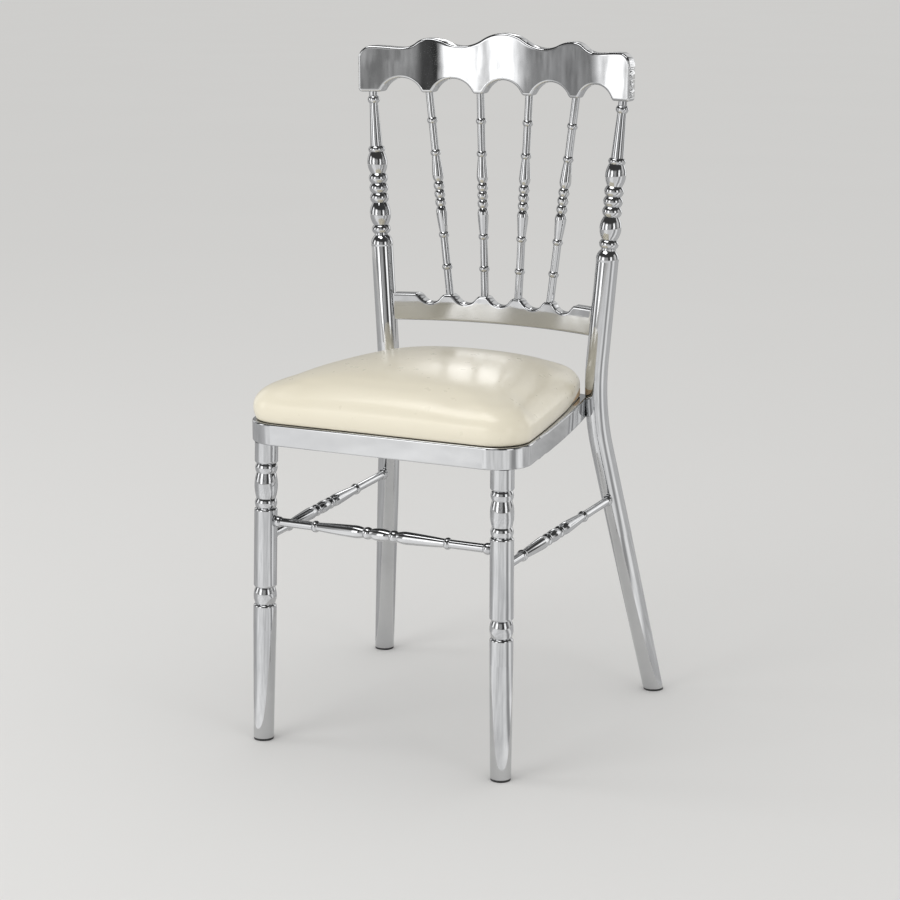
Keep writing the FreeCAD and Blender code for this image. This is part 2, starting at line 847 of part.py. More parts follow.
def ogee(start, end):
    # Two equal arcs, level at both ends, from a crest to a hollow.
    run = value_of(end[0]) - value_of(start[0])
    drop = value_of(end[1]) - value_of(start[1])
    radius = (run ** 2 + drop ** 2) / (4 * abs(drop))
    half_turn = math.asin(abs(run) / 2 / radius) / 2
    step_x = math.copysign(radius * math.sin(half_turn), run)
    step_z = math.copysign(radius * (1 - math.cos(half_turn)), drop)
    middle = ((start[0] + end[0]) / 2, (start[1] + end[1]) / 2)
    first_mid = (value_of(start[0]) + step_x, value_of(start[1]) + step_z)
    last_mid = (value_of(end[0]) - step_x, value_of(end[1]) - step_z)
    return [middle + first_mid, end + last_mid]


def scallop(start, end, level, rise, corner):
    # Arch from start to end off a level edge, both of its corners rounded into the teeth beside it.
    first, last, base, lift, bend = [value_of(item) for item in (start, end, level, rise, corner)]
    middle = (first + last) / 2
    half = abs(last - first) / 2
    way = math.copysign(1.0, lift)
    radius = (half ** 2 + lift ** 2) / (2 * abs(lift))
    hub = Vector(middle, base + lift - way * radius, 0)
    round_z = base + way * bend
    reach = math.sqrt((radius + bend) ** 2 - (round_z - hub.y) ** 2)
    heading = math.copysign(1.0, last - first)
    spots = []
    for side in (-heading, heading):
        centre = Vector(middle + side * reach, round_z, 0)
        on_flat = Vector(centre.x, base, 0)
        on_arch = hub + (centre - hub) * (radius / (radius + bend))
        bulge = ((on_flat - centre).normalize() + (on_arch - centre).normalize()).normalize()
        spots.append((on_flat, on_arch, centre + bulge * bend))
    (flat_in, arch_in, mid_in), (flat_out, arch_out, mid_out) = spots
    return [
        (flat_in.x, base),
        (arch_in.x, arch_in.y, mid_in.x, mid_in.y),
        (arch_out.x, arch_out.y, middle, base + lift),
        (flat_out.x, base, mid_out.x, mid_out.y),
    ]


def scallop_row(outer, spacing, tooth, level, rise, corner):
    # Right half of a row of scallops, from outside inwards, and the arch over the middle line.
    near = spacing * stations[2]
    far = spacing * stations[3]
    inner = near - tooth
    path = scallop(outer, far + tooth, level, rise, corner)
    path += scallop(far - tooth, near + tooth, level, rise, corner)
    middle = scallop(inner, 0 - inner, level, rise, corner)
    return path + middle[:2], middle[2]


def outline_edges(shape, open_end):
    # Edges round the front and back faces, but not those of an open end beyond open_end.
    found = []
    for order, edge in enumerate(shape.Edges, start=1):
        box = edge.BoundBox
        through = box.XLength < hair and box.ZLength < hair
        on_end = min(abs(box.XMin), abs(box.XMax)) > open_end - hair
        if not through and not on_end:
            found.append("Edge%d" % order)
    return found


def round_edges(body, base, name, radius, open_end):
    rounded = body.newObject("PartDesign::Fillet", name + "_edges")
    rounded.Base = (base, outline_edges(base.Shape, open_end))
    rounded.Radius = radius.value
    rounded.setExpression("Radius", radius.text)
    doc.recompute()
    return rounded


crest_low = size["crest_underside"]
crest_high = crest_low + size["crest_centre_rise"]
crest_half = size["crest_half_width"]
shoulder = size["crest_shoulder_radius"]
corner = size["crest_corner_radius"]
post_flat = size["post_top_half_spacing"] - size["crest_post_flat"] / 2
slant = 1 - math.sqrt(0.5)


def mirrored(path_start, path):
    # Continues a right-half path, ended on the middle line, back along the left half.
    points = [path_start] + [step[:2] for step in path]
    back = []
    for index in range(len(path) - 1, -1, -1):
        target = points[index]
        step = path[index]
        bulge = (0 - step[2], step[3]) if len(step) > 2 else ()
        back.append((0 - target[0], target[1]) + bulge)
    return back


crest_peak = (0.0, crest_high)
crest_valley = (size["crest_valley_at"], crest_low + size["crest_valley_rise"])
crest_hump = (size["crest_hump_at"], crest_low + size["crest_hump_rise"])
crest_dip = (size["crest_dip_at"], crest_low + size["crest_dip_rise"])
crest_end = (crest_half - shoulder, crest_low + size["crest_end_rise"])
crest_right = ogee(crest_peak, crest_valley) + ogee(crest_valley, crest_hump)
crest_right += ogee(crest_hump, crest_dip) + ogee(crest_dip, crest_end)
crest_right += [
    (crest_half, crest_end[1] - shoulder,
     crest_half - shoulder * slant, crest_end[1] - shoulder * slant),
    (crest_half, crest_low + corner),
    (crest_half - corner, crest_low, crest_half - corner * slant, crest_low + corner * slant),
]
crest_row, crest_arch = scallop_row(
    post_flat, size["spindle_top_spacing"], size["crest_tooth_width"] / 2,
    crest_low, size["crest_arch_rise"], size["crest_tooth_round"])
crest_right += crest_row
crest_outline = crest_right + [crest_arch] + mirrored(crest_peak, crest_right)
crest_body = new_body("crest_rail_body")
band(crest_body, "crest_rail", crest_arc, num["crest_thickness"], crest_half.value, crest_low, crest_high)
crest_trim = trim_to(crest_body, "crest_rail", crest_outline, crest_peak,
                     crest_half.value, crest_low, crest_high)
round_edges(crest_body, crest_trim, "crest_rail", size["crest_edge_radius"], crest_half.value + band_spare)
label(crest_body, "crest_rail")

rail_low = size["rail_underside"]
rail_reach = Size(rail_middle.x, repr(rail_middle.x))
rail_tooth = size["rail_tooth_width"] / 2
notch_end = size["spindle_foot_spacing"] * stations[3] + rail_tooth + size["rail_end_notch"]
rail_start = (0.0, rail_low)
rail_row, rail_arch = scallop_row(
    notch_end, size["spindle_foot_spacing"], rail_tooth,
    rail_top, 0 - size["rail_notch_depth"], size["rail_tooth_round"])
rail_right = [(rail_reach, rail_low), (rail_reach, rail_top)] + rail_row
rail_outline = rail_right + [rail_arch] + mirrored(rail_start, rail_right)
rail_body = new_body("lower_back_rail_body")
band(rail_body, "lower_back_rail", rail_arc, num["rail_thickness"], rail_middle.x, rail_low, rail_top)
rail_trim = trim_to(rail_body, "lower_back_rail", rail_outline, rail_start, rail_middle.x, rail_low, rail_top)
round_edges(rail_body, rail_trim, "lower_back_rail", size["rail_edge_radius"], rail_middle.x)
rail_shape = rail_body
for side_name, side in sides:
    foot, bend, top = rear_axis(side)
    tool = rod("rail_cope_" + side_name, tube_radius + size["weld_gap"],
               (top - bend).Length, along(bend, top))
    rail_shape = cut("lower_back_rail_coped_" + side_name, rail_shape, tool)
label(rail_shape, "lower_back_rail")

# Spindles: cut level on the flats of the two rails
spindle_slab = slab("SpindleSpan", rail_top, size["crest_underside"])


def spindle_steps():
    groove = size["spindle_groove_dia"] / 2
    plain = size["spindle_dia"] / 2
    ball = size["spindle_ball_length"]
    vase = vase_steps(groove, plain, size["spindle_vase_dia"] / 2, ball * 1.5,
                      size["spindle_vase_swell"], size["spindle_vase_length"])
    first = vase[-1][1]
    ring = size["spindle_ring_length"]
    second = first + ring + size["spindle_ring_gap"]
    crown = size["spindle_ring_dia"] / 2
    return [
        (groove, ball / 2),
        (groove, ball * 1.5, size["spindle_ball_dia"] / 2, ball),
    ] + vase + [
        (plain, first + ring, crown, first + ring / 2),
        (plain, second),
        (plain, second + ring, crown, second + ring / 2),
    ]


for order, station in enumerate(stations, start=1):
    head_x = station * num["spindle_top_spacing"]
    foot_x = station * num["spindle_foot_spacing"]
    head = Vector(head_x, crest_arc.y_at(head_x), crest_level)
    foot = Vector(foot_x, rail_arc.y_at(foot_x), rail_top.value)
    way = (head - foot).normalize()
    name = "spindle_%d" % order
    turning = turned_rod(name, foot - way * trim, head + way * trim, (head + foot) * 0.5,
                         spindle_steps(), size["spindle_ball_dia"] / 2, size["spindle_dia"] / 2, ([], []))
    label(common(name + "_cut", turning, spindle_slab), name)

# Corner tabs welded inside the seat ring, with hook discs on top
pad_low = ring_top + size["pad_gap"]
loop_high = pad_low - size["dust_cover_thickness"]
hook_high = loop_high - size["fastener_thickness"]
tab_high = hook_high - size["fastener_thickness"]
inner_inset = num["ring_width"] + num["weld_gap"]
inner_half = hoop_points(inner_inset, num["ring_inner_rear_radius"])
inner_front = inner_half[0][0].y
inner_rear = inner_half[-1][0].y
front_square = num["ring_front_flat"] + num["ring_corner_radius"] - num["ring_width"]
rear_square = inner_half[-1][0].x + num["ring_inner_rear_radius"]
tabs_body = new_body("seat_support_tabs_body")
tabs_sketch = new_sketch(tabs_body, "seat_support_tabs_outline", "XY_Plane")
at_level(tabs_sketch, tab_high - size["tab_thickness"])
hoop(tabs_sketch, inner_inset, num["ring_inner_rear_radius"])
pad_feature(tabs_body, tabs_sketch, size["tab_thickness"], "seat_support_tabs_plate")
front_x = front_square - num["tab_front_reach"]
rear_x = rear_square - num["tab_rear_reach"]
apex_x = (inner_rear - inner_front + front_x + rear_x) / 2
apex_y = inner_front + apex_x - front_x
tabs_window = new_sketch(tabs_body, "seat_support_tabs_window", "XY_Plane")
at_level(tabs_window, tab_high)
draw(tabs_window, (tab_spare - front_x, inner_front - tab_spare), [
    (front_x - tab_spare, inner_front - tab_spare),
    (apex_x, apex_y),
    (rear_x - tab_spare, inner_rear + tab_spare),
    (tab_spare - rear_x, inner_rear + tab_spare),
    (-apex_x, apex_y),
    (tab_spare - front_x, inner_front - tab_spare),
])
doc.recompute()
tabs_open = tabs_body.newObject("PartDesign::Pocket", "seat_support_tabs_open")
tabs_open.Profile = tabs_window
tabs_open.Type = "ThroughAll"
doc.recompute()
label(tabs_body, "seat_support_tabs")

disc_inset = num["fastener_inset"] + num["fastener_dia"] / 2
front_way = Vector(1, -1, 0).normalize()
corner_middle = Vector(num["ring_front_flat"], num["ring_front_y"] + num["ring_corner_radius"], 0)
front_disc = corner_middle + front_way * (num["ring_corner_radius"] - num["ring_width"] - disc_inset)
rear_disc = Vector(inner_half[-2][0].x - disc_inset, inner_rear - disc_inset, 0)


def discs(name, low):
    body = new_body(name + "_body")
    sketch = new_sketch(body, name + "_outline", "XY_Plane")
    at_level(sketch, low)
    radius = size["fastener_dia"] / 2
    order = 0
    for spot in (front_disc, rear_disc):
        for _, side in sides:
            centre = Vector(side * spot.x, spot.y, 0)
            sketch.addGeometry(Part.Circle(centre, Vector(0, 0, 1), radius.value), False)
            sketch.addConstraint(Sketcher.Constraint("Radius", order, radius.value))
            sketch.setExpression("Constraints[%d]" % order, radius.text)
            order += 1
    pad_feature(body, sketch, size["fastener_thickness"], name + "_pad")
    return label(body, name)


discs("hook_discs", tab_high)
discs("loop_discs", hook_high)

# Seat pad: vinyl cover over foam on a plywood board, dust cover below


def swell(part):
    # Share of the full outline at a share of the height: tucked under, widest low, then crowned.
    if part < pad_widest:
        return 1.0 - pad_tuck * (1.0 - part / pad_widest) ** 2
    rise = (part - pad_widest) / (1.0 - pad_widest)
    return (1.0 - rise ** crown_fullness) ** crown_roundness


def cushion(body, name, kind, inset, low, high):
    sketches = []
    for order, part in enumerate(pad_levels):
        sketch = new_sketch(body, "%s_level_%d" % (name, order + 1), "XY_Plane")
        at_level(sketch, low + (high - low) * part)
        hoop(sketch, inset, num["ring_rear_radius"] + num["pad_inset"], swell(part))
        sketches.append(sketch)
    loft = body.newObject(kind, name)
    loft.Profile = sketches[0]
    loft.Sections = sketches[1:]
    loft.Ruled = True
    return loft


def window(body, name, inset, low, depth, reverse):
    sketch = new_sketch(body, name + "_outline", "XY_Plane")
    at_level(sketch, low)
    hoop(sketch, inset, num["ring_rear_radius"])
    doc.recompute()
    opening = body.newObject("PartDesign::Pocket", name)
    opening.Profile = sketch
    opening.Length = value_of(depth)
    opening.setExpression("Length", text_of(depth))
    opening.Reversed = reverse
    doc.recompute()
    return opening


pad_high = pad_low + size["pad_height"]
skin = size["cover_thickness"]
cover_inset = num["pad_inset"]
lining_inset = cover_inset + num["cover_thickness"]
filling_inset = lining_inset + num["pad_fit"]
cover_body = new_body("seat_cover_body")
cushion(cover_body, "seat_cover_outside", "PartDesign::AdditiveLoft", cover_inset, pad_low, pad_high)
doc.recompute()
cushion(cover_body, "seat_cover_inside", "PartDesign::SubtractiveLoft", lining_inset,
        pad_low + skin, pad_high - skin)
doc.recompute()
window(cover_body, "seat_cover_opening", cover_inset + num["cover_lip"], pad_low, skin, True)
label(cover_body, "seat_cover")

board_low = pad_low + skin
board_high = board_low + size["board_thickness"]
foam_body = new_body("seat_foam_body")
cushion(foam_body, "seat_foam_block", "PartDesign::AdditiveLoft", filling_inset,
        board_low + size["pad_fit"], pad_high - skin - size["pad_fit"])
doc.recompute()
window(foam_body, "seat_foam_base", 0.0, board_high, size["board_thickness"], False)
label(foam_body, "seat_foam")

board_body = new_body("seat_board_body")
board_sketch = new_sketch(board_body, "seat_board_outline", "XY_Plane")
at_level(board_sketch, board_low)
hoop(board_sketch, filling_inset, num["ring_rear_radius"] + num["pad_inset"], 1.0 - pad_tuck)
pad_feature(board_body, board_sketch, size["board_thickness"], "seat_board_pad")
label(board_body, "seat_board")

dust_body = new_body("dust_cover_body")
dust_sketch = new_sketch(dust_body, "dust_cover_outline", "XY_Plane")
at_level(dust_sketch, loop_high)
hoop(dust_sketch, num["pad_inset"] + num["dust_cover_lap"], num["ring_rear_radius"])
pad_feature(dust_body, dust_sketch, size["dust_cover_thickness"], "dust_cover_pad")
label(dust_body, "dust_cover")

# Foot glides: a level rim under the tube with a plug up its bore
rim_slab = slab("GlideRimSpan", 0.0, size["glide_rim"])
plug_slab = slab("GlidePlugSpan", 0.0, size["glide_rim"] + size["glide_plug_length"] * 3)


def glide(name, foot, top, foot_dia):
    way = (top - foot).normalize()
    place = along(foot - way * trim, top)
    rim_radius = foot_dia / 2 - size["glide_rim_inset"]
    plug_radius = foot_dia / 2 - size["foot_wall"] - size["glide_fit"]
    rim = rod(name + "_rim_rod", rim_radius, 2 * trim, place)
    plug = rod(name + "_plug_rod", plug_radius, trim + num["glide_rim"] + num["glide_plug_length"], place)
    joined = doc.addObject("Part::Fuse", name + "_fused")
    joined.Base = common(name + "_rim", rim, rim_slab)
    joined.Tool = common(name + "_plug", plug, plug_slab)
    return label(joined, name)


for side_name, side in sides:
    foot, top = front_axis(side)
    glide("glide_front_" + side_name, foot, top, size["front_foot_dia"])
    foot, bend, _ = rear_axis(side)
    glide("glide_rear_" + side_name, foot, bend, size["rear_foot_dia"])

doc.recompute()
for item in doc.Objects:
    if "Invalid" in item.State or "Error" in item.State:
        raise RuntimeError("%s failed: %s" % (item.Label, item.State))
for item in nodes:
    if item.Shape.isNull() or not item.Shape.isValid():
        raise RuntimeError("%s has no valid shape" % item.Label)

os.makedirs("parts", exist_ok=True)
for item in nodes:
    item.Shape.exportStep(os.path.join("parts", item.Label + ".step"))
    print("%-22s %9.0f mm3  %d solid(s)" % (item.Label, item.Shape.Volume, len(item.Shape.Solids)))
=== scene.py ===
import json
import math

import bpy
import numpy as np
from mathutils import Matrix, Vector


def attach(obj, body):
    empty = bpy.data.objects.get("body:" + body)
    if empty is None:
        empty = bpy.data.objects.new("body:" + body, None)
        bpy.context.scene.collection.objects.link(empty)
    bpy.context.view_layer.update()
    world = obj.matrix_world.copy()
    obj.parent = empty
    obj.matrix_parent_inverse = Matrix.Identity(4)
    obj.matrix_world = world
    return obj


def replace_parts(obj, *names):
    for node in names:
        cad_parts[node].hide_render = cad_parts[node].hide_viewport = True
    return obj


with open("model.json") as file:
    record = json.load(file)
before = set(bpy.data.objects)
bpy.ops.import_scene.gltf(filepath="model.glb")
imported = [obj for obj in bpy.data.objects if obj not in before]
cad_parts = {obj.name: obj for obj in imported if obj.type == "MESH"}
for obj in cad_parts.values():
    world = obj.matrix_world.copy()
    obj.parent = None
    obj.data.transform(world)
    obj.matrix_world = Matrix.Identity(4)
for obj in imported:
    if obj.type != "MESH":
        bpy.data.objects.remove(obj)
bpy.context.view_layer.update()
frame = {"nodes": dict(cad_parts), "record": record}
nodes = frame["nodes"]
print("chair frame loaded:", len(nodes), "nodes")


# Node helpers shared by the finishes

def newFinish(name):
    finish = bpy.data.materials.new(name)
    finish.use_nodes = True
    tree = finish.node_tree
    shader = next(node for node in tree.nodes if node.type == "BSDF_PRINCIPLED")
    coords = tree.nodes.new("ShaderNodeTexCoord")
    return finish, tree, shader, coords.outputs["Object"]


def noise(tree, place, scale, detail=3.0, roughness=0.55):
    node = tree.nodes.new("ShaderNodeTexNoise")
    node.inputs["Scale"].default_value = scale
    node.inputs["Detail"].default_value = detail
    node.inputs["Roughness"].default_value = roughness
    tree.links.new(place, node.inputs["Vector"])
    return node.outputs["Fac"]


def stretched(tree, place, scale):
    # the same coordinates, longer or shorter along each axis
    node = tree.nodes.new("ShaderNodeMapping")
    node.inputs["Scale"].default_value = scale
    tree.links.new(place, node.inputs["Vector"])
    return node.outputs["Vector"]


def remap(tree, value, low, high, fromLow=0.0, fromHigh=1.0):
    node = tree.nodes.new("ShaderNodeMapRange")
    node.inputs["From Min"].default_value = fromLow
    node.inputs["From Max"].default_value = fromHigh
    node.inputs["To Min"].default_value = low
    node.inputs["To Max"].default_value = high
    tree.links.new(value, node.inputs["Value"])
    return node.outputs["Result"]


def blendColours(tree, value, first, second):
    node = tree.nodes.new("ShaderNodeMix")
    node.data_type = "RGBA"
    node.inputs[6].default_value = (*first, 1.0)
    node.inputs[7].default_value = (*second, 1.0)
    tree.links.new(value, node.inputs[0])
    return node.outputs[2]


def bump(tree, height, strength, distance, under=None):
    node = tree.nodes.new("ShaderNodeBump")
    node.inputs["Strength"].default_value = strength
    node.inputs["Distance"].default_value = distance
    tree.links.new(height, node.inputs["Height"])
    if under is not None:
        tree.links.new(under, node.inputs["Normal"])
    return node.outputs["Normal"]


# Chrome plating: a bright mirror with faint polishing waves and hazy patches

chrome = {
    "bright": (0.64, 0.645, 0.65),
    "dim": (0.56, 0.565, 0.575),
    "gloss": (0.02, 0.075),
    "cloudScale": 9.0,
    "hazeScale": 45.0,
    "waveScale": 26.0,
    "waveStrength": 0.12,
    "waveDepth": 0.0006,
    "hairScale": (900.0, 900.0, 60.0),
    "hairStrength": 0.03,
    "hairDepth": 0.00005,
}


def chromeFinish():
    finish, tree, shader, place = newFinish("chromePlating")
    cloud = noise(tree, place, chrome["cloudScale"], 4.0)
    tint = blendColours(tree, remap(tree, cloud, 0.0, 1.0, 0.35, 0.7), chrome["bright"], chrome["dim"])
    tree.links.new(tint, shader.inputs["Base Color"])
    haze = noise(tree, place, chrome["hazeScale"], 5.0, 0.65)
    tree.links.new(remap(tree, haze, *chrome["gloss"], 0.35, 0.75), shader.inputs["Roughness"])
    ripple = noise(tree, place, chrome["waveScale"], 1.0)
    waves = bump(tree, ripple, chrome["waveStrength"], chrome["waveDepth"])
    hairs = noise(tree, stretched(tree, place, chrome["hairScale"]), 1.0, 2.0)
    polished = bump(tree, hairs, chrome["hairStrength"], chrome["hairDepth"], waves)
    tree.links.new(polished, shader.inputs["Normal"])
    shader.inputs["Metallic"].default_value = 1.0
    return finish


# Ivory vinyl: warm white, satin, with a fine pressed grain

vinyl = {
    "cream": (0.80, 0.74, 0.585),
    "pale": (0.84, 0.79, 0.655),
    "gloss": (0.27, 0.32),
    "cloudScale": 7.0,
    "sheenScale": 60.0,
    "grainScale": 800.0,
    "grainStrength": 0.05,
    "grainDepth": 0.00006,
    "specular": 0.5,
    "coat": 0.30,
    "coatRoughness": 0.14,
}


def vinylFinish():
    finish, tree, shader, place = newFinish("ivoryVinyl")
    cloud = noise(tree, place, vinyl["cloudScale"], 3.0)
    tree.links.new(blendColours(tree, cloud, vinyl["cream"], vinyl["pale"]), shader.inputs["Base Color"])
    sheen = noise(tree, place, vinyl["sheenScale"], 4.0)
    tree.links.new(remap(tree, sheen, *vinyl["gloss"], 0.3, 0.7), shader.inputs["Roughness"])
    grain = noise(tree, place, vinyl["grainScale"], 2.0)
    tree.links.new(bump(tree, grain, vinyl["grainStrength"], vinyl["grainDepth"]), shader.inputs["Normal"])
    shader.inputs["Specular IOR Level"].default_value = vinyl["specular"]
    shader.inputs["Coat Weight"].default_value = vinyl["coat"]
    shader.inputs["Coat Roughness"].default_value = vinyl["coatRoughness"]
    return finish


# Zinc-plated corner tabs

zinc = {
    "light": (0.60, 0.60, 0.60), "dark": (0.46, 0.47, 0.48), "gloss": (0.28, 0.5),
    "spangleScale": 160.0, "brushScale": (40.0, 900.0, 40.0), "brushStrength": 0.15, "brushDepth": 0.0001,
}


def zincFinish():
    finish, tree, shader, place = newFinish("zincPlate")
    spangle = tree.nodes.new("ShaderNodeTexVoronoi")
    spangle.inputs["Scale"].default_value = zinc["spangleScale"]
    tree.links.new(place, spangle.inputs["Vector"])
    shade = remap(tree, spangle.outputs["Distance"], 0.0, 1.0, 0.0, 0.8)
    tree.links.new(blendColours(tree, shade, zinc["light"], zinc["dark"]), shader.inputs["Base Color"])
    brushed = noise(tree, stretched(tree, place, zinc["brushScale"]), 1.0, 3.0)
    tree.links.new(remap(tree, brushed, *zinc["gloss"], 0.3, 0.7), shader.inputs["Roughness"])
    scratches = bump(tree, brushed, zinc["brushStrength"], zinc["brushDepth"])
    tree.links.new(scratches, shader.inputs["Normal"])
    shader.inputs["Metallic"].default_value = 1.0
    return finish


# Touch-fastener discs, dust cloth, glides: dark plastics told apart by their grain

darks = {
    "hookTape": {"first": (0.020, 0.020, 0.021), "second": (0.060, 0.060, 0.062),
                 "scale": 1400.0, "gloss": (0.35, 0.6), "depth": 0.0004},
    "loopTape": {"first": (0.030, 0.030, 0.031), "second": (0.095, 0.095, 0.098),
                 "scale": 700.0, "gloss": (0.8, 1.0), "depth": 0.0006},
    "dustCloth": {"first": (0.022, 0.022, 0.023), "second": (0.060, 0.060, 0.061),
                  "scale": 420.0, "gloss": (0.75, 0.95), "depth": 0.0003},
    "glideNylon": {"first": (0.018, 0.018, 0.019), "second": (0.045, 0.045, 0.046),
                   "scale": 260.0, "gloss": (0.35, 0.55), "depth": 0.00008},
}


def darkFinish(name):
    look = darks[name]
    finish, tree, shader, place = newFinish(name)
    grain = noise(tree, place, look["scale"], 4.0, 0.7)
    tree.links.new(blendColours(tree, remap(tree, grain, 0.0, 1.0, 0.3, 0.7), look["first"], look["second"]),
                   shader.inputs["Base Color"])
    tree.links.new(remap(tree, grain, *look["gloss"], 0.3, 0.7), shader.inputs["Roughness"])
    tree.links.new(bump(tree, grain, 0.5, look["depth"]), shader.inputs["Normal"])
    return finish


# Plywood board and foam, both inside the pad

plywood = {
    "light": (0.66, 0.50, 0.32), "dark": (0.48, 0.33, 0.18), "gloss": (0.55, 0.8),
    "fibreScale": (12.0, 220.0, 900.0), "fibreStrength": 0.25, "fibreDepth": 0.0003,
}
foam = {
    "light": (0.86, 0.78, 0.52), "dark": (0.70, 0.60, 0.36), "gloss": (0.85, 1.0),
    "poreScale": 600.0, "poreStrength": 0.4, "poreDepth": 0.0005,
}


def plywoodFinish():
    finish, tree, shader, place = newFinish("plywoodBoard")
    fibres = noise(tree, stretched(tree, place, plywood["fibreScale"]), 1.0, 5.0, 0.65)
    streak = remap(tree, fibres, 0.0, 1.0, 0.3, 0.7)
    tree.links.new(blendColours(tree, streak, plywood["dark"], plywood["light"]), shader.inputs["Base Color"])
    tree.links.new(remap(tree, fibres, *plywood["gloss"], 0.3, 0.7), shader.inputs["Roughness"])
    ridges = bump(tree, fibres, plywood["fibreStrength"], plywood["fibreDepth"])
    tree.links.new(ridges, shader.inputs["Normal"])
    return finish


def foamFinish():
    finish, tree, shader, place = newFinish("cellFoam")
    cells = tree.nodes.new("ShaderNodeTexVoronoi")
    cells.inputs["Scale"].default_value = foam["poreScale"]
    tree.links.new(place, cells.inputs["Vector"])
    poreDepthAndShade = remap(tree, cells.outputs["Distance"], 0.0, 1.0, 0.0, 0.7)
    # the pore field sinks pits in the bump and colours them darker: painted shade in the pits
    tree.links.new(blendColours(tree, poreDepthAndShade, foam["dark"], foam["light"]), shader.inputs["Base Color"])
    tree.links.new(remap(tree, poreDepthAndShade, *foam["gloss"]), shader.inputs["Roughness"])
    pits = bump(tree, poreDepthAndShade, foam["poreStrength"], foam["poreDepth"])
    tree.links.new(pits, shader.inputs["Normal"])
    return finish


finishes = {
    "chrome": chromeFinish(),
    "plated_steel": zincFinish(),
    "hook_tape": darkFinish("hookTape"),
    "loop_tape": darkFinish("loopTape"),
    "ivory_vinyl": vinylFinish(),
    "foam": foamFinish(),
    "plywood": plywoodFinish(),
    "dust_cloth": darkFinish("dustCloth"),
    "glide_plastic": darkFinish("glideNylon"),
}


def dress(item, finish):
    item.data.materials.clear()
    item.data.materials.append(finish)


for subpart in frame["record"]["subparts"]:
    dress(nodes[subpart["node"]], finishes[subpart["material_slot"]])
print("finishes on the frame:", len(finishes))


# Seat outline in plan, the same corner, side and rear arcs as the ring carries

seat = {
    "frontY": -0.2183,
    "frontFlat": 0.149,
    "cornerRadius": 0.045,
    "sideRadius": 2.9,
    "rearRadius": 0.0185,
    "postX": 0.152,
    "postY": 0.117,
    "postRadius": 0.015,
    "postLap": 0.0015,
    "padLow": 0.4261,
    "padHeight": 0.070,
    "postRoom": 0.019,
    "postRoomFrom": 0.02,
    "postRoomRun": 0.09,
    "tuck": 0.020,
    "widest": 0.27,
    "rollShare": 0.40,
    "rollReach": 0.032,
    "crownFullness": 0.80,
    "underShares": (0.30, 0.60, 0.90, 0.985),
    "crownSpacing": 0.8,
}


def arcPoints(centre, radius, first, last, count):
    # points on a circle between two bearings, the last one left to the next arc
    bearing = np.linspace(first, last, count, endpoint=False)
    return np.stack([centre[0] + radius * np.cos(bearing), centre[1] + radius * np.sin(bearing)], axis=1)


def seatOutline(inset, count=240):
    # right half: front flat, corner arc, long side arc, rear corner arc, rear flat; then mirrored,
    # spaced evenly along its length and drawn in beside the posts
    corner = np.array([seat["frontFlat"], seat["frontY"] + seat["cornerRadius"]])
    touch = np.array([seat["postX"] - seat["postRadius"] + seat["postLap"], seat["postY"]])
    gap = touch - corner
    span = np.hypot(*gap)
    reach = seat["sideRadius"] - seat["cornerRadius"]
    near = (reach ** 2 - seat["sideRadius"] ** 2 + span ** 2) / (2 * span)
    off = math.sqrt(reach ** 2 - near ** 2)
    way = gap / span
    middle = corner + way * near + np.array([-way[1], way[0]]) * off
    rear = seat["postY"] + seat["postRadius"] - inset
    inner = seat["sideRadius"] - inset
    roundY = rear - seat["rearRadius"]
    roundX = middle[0] + math.sqrt((inner - seat["rearRadius"]) ** 2 - (roundY - middle[1]) ** 2)
    cornerBearing = math.atan2(*(corner - middle)[::-1])
    rearBearing = math.atan2(roundY - middle[1], roundX - middle[0])
    half = np.concatenate([
        np.array([[0.0, seat["frontY"] + inset]]),
        arcPoints(corner, seat["cornerRadius"] - inset, -math.pi / 2, cornerBearing, 60),
        arcPoints(middle, inner, cornerBearing, rearBearing, 200),
        arcPoints((roundX, roundY), seat["rearRadius"], rearBearing, math.pi / 2, 40),
        np.array([[roundX, rear], [0.0, rear]]),
    ])
    loop = np.concatenate([half, half[-2:0:-1] * np.array([-1.0, 1.0])])
    closed = np.concatenate([loop, loop[:1]])
    run = np.concatenate([[0.0], np.cumsum(np.hypot(*np.diff(closed, axis=0).T))])
    stops = np.linspace(0.0, run[-1], count, endpoint=False)
    even = np.stack([np.interp(stops, run, closed[:, axis]) for axis in (0, 1)], axis=1)
    beside = np.clip((even[:, 1] - seat["postRoomFrom"]) / seat["postRoomRun"], 0.0, 1.0)
    even[:, 0] *= 1.0 - seat["postRoom"] * beside ** 2 * (3 - 2 * beside)
    return even


def insideOutline(outline, x, y):
    # even-odd count of outline edges that lie to the right of each spot, one edge array at a time
    inside = np.zeros(x.shape, dtype=bool)
    ahead = np.roll(outline, -1, axis=0)
    for (x0, y0), (x1, y1) in zip(outline, ahead):
        if y0 == y1:
            continue
        crossed = ((y0 > y) != (y1 > y)) & (x < (x1 - x0) * (y - y0) / (y1 - y0) + x0)
        inside ^= crossed
    return inside


def crownHeight(outline, cell=0.004, rounds=6000):
    # a sheet held along the outline and pushed up evenly: each cell settles to the mean of its four
    # neighbours plus a constant lift; the result is scaled to run from 0 at the edge to 1 at the top
    x = np.arange(outline[:, 0].min() - cell, outline[:, 0].max() + 2 * cell, cell)
    y = np.arange(outline[:, 1].min() - cell, outline[:, 1].max() + 2 * cell, cell)
    gridX, gridY = np.meshgrid(x, y, indexing="ij")
    inside = insideOutline(outline, gridX, gridY)
    sheet = np.zeros(gridX.shape)
    for _ in range(rounds):
        mean = (sheet[:-2, 1:-1] + sheet[2:, 1:-1] + sheet[1:-1, :-2] + sheet[1:-1, 2:]) / 4
        sheet[1:-1, 1:-1] = np.where(inside[1:-1, 1:-1], mean + 1.0, 0.0)
    return x, y, sheet / sheet.max()


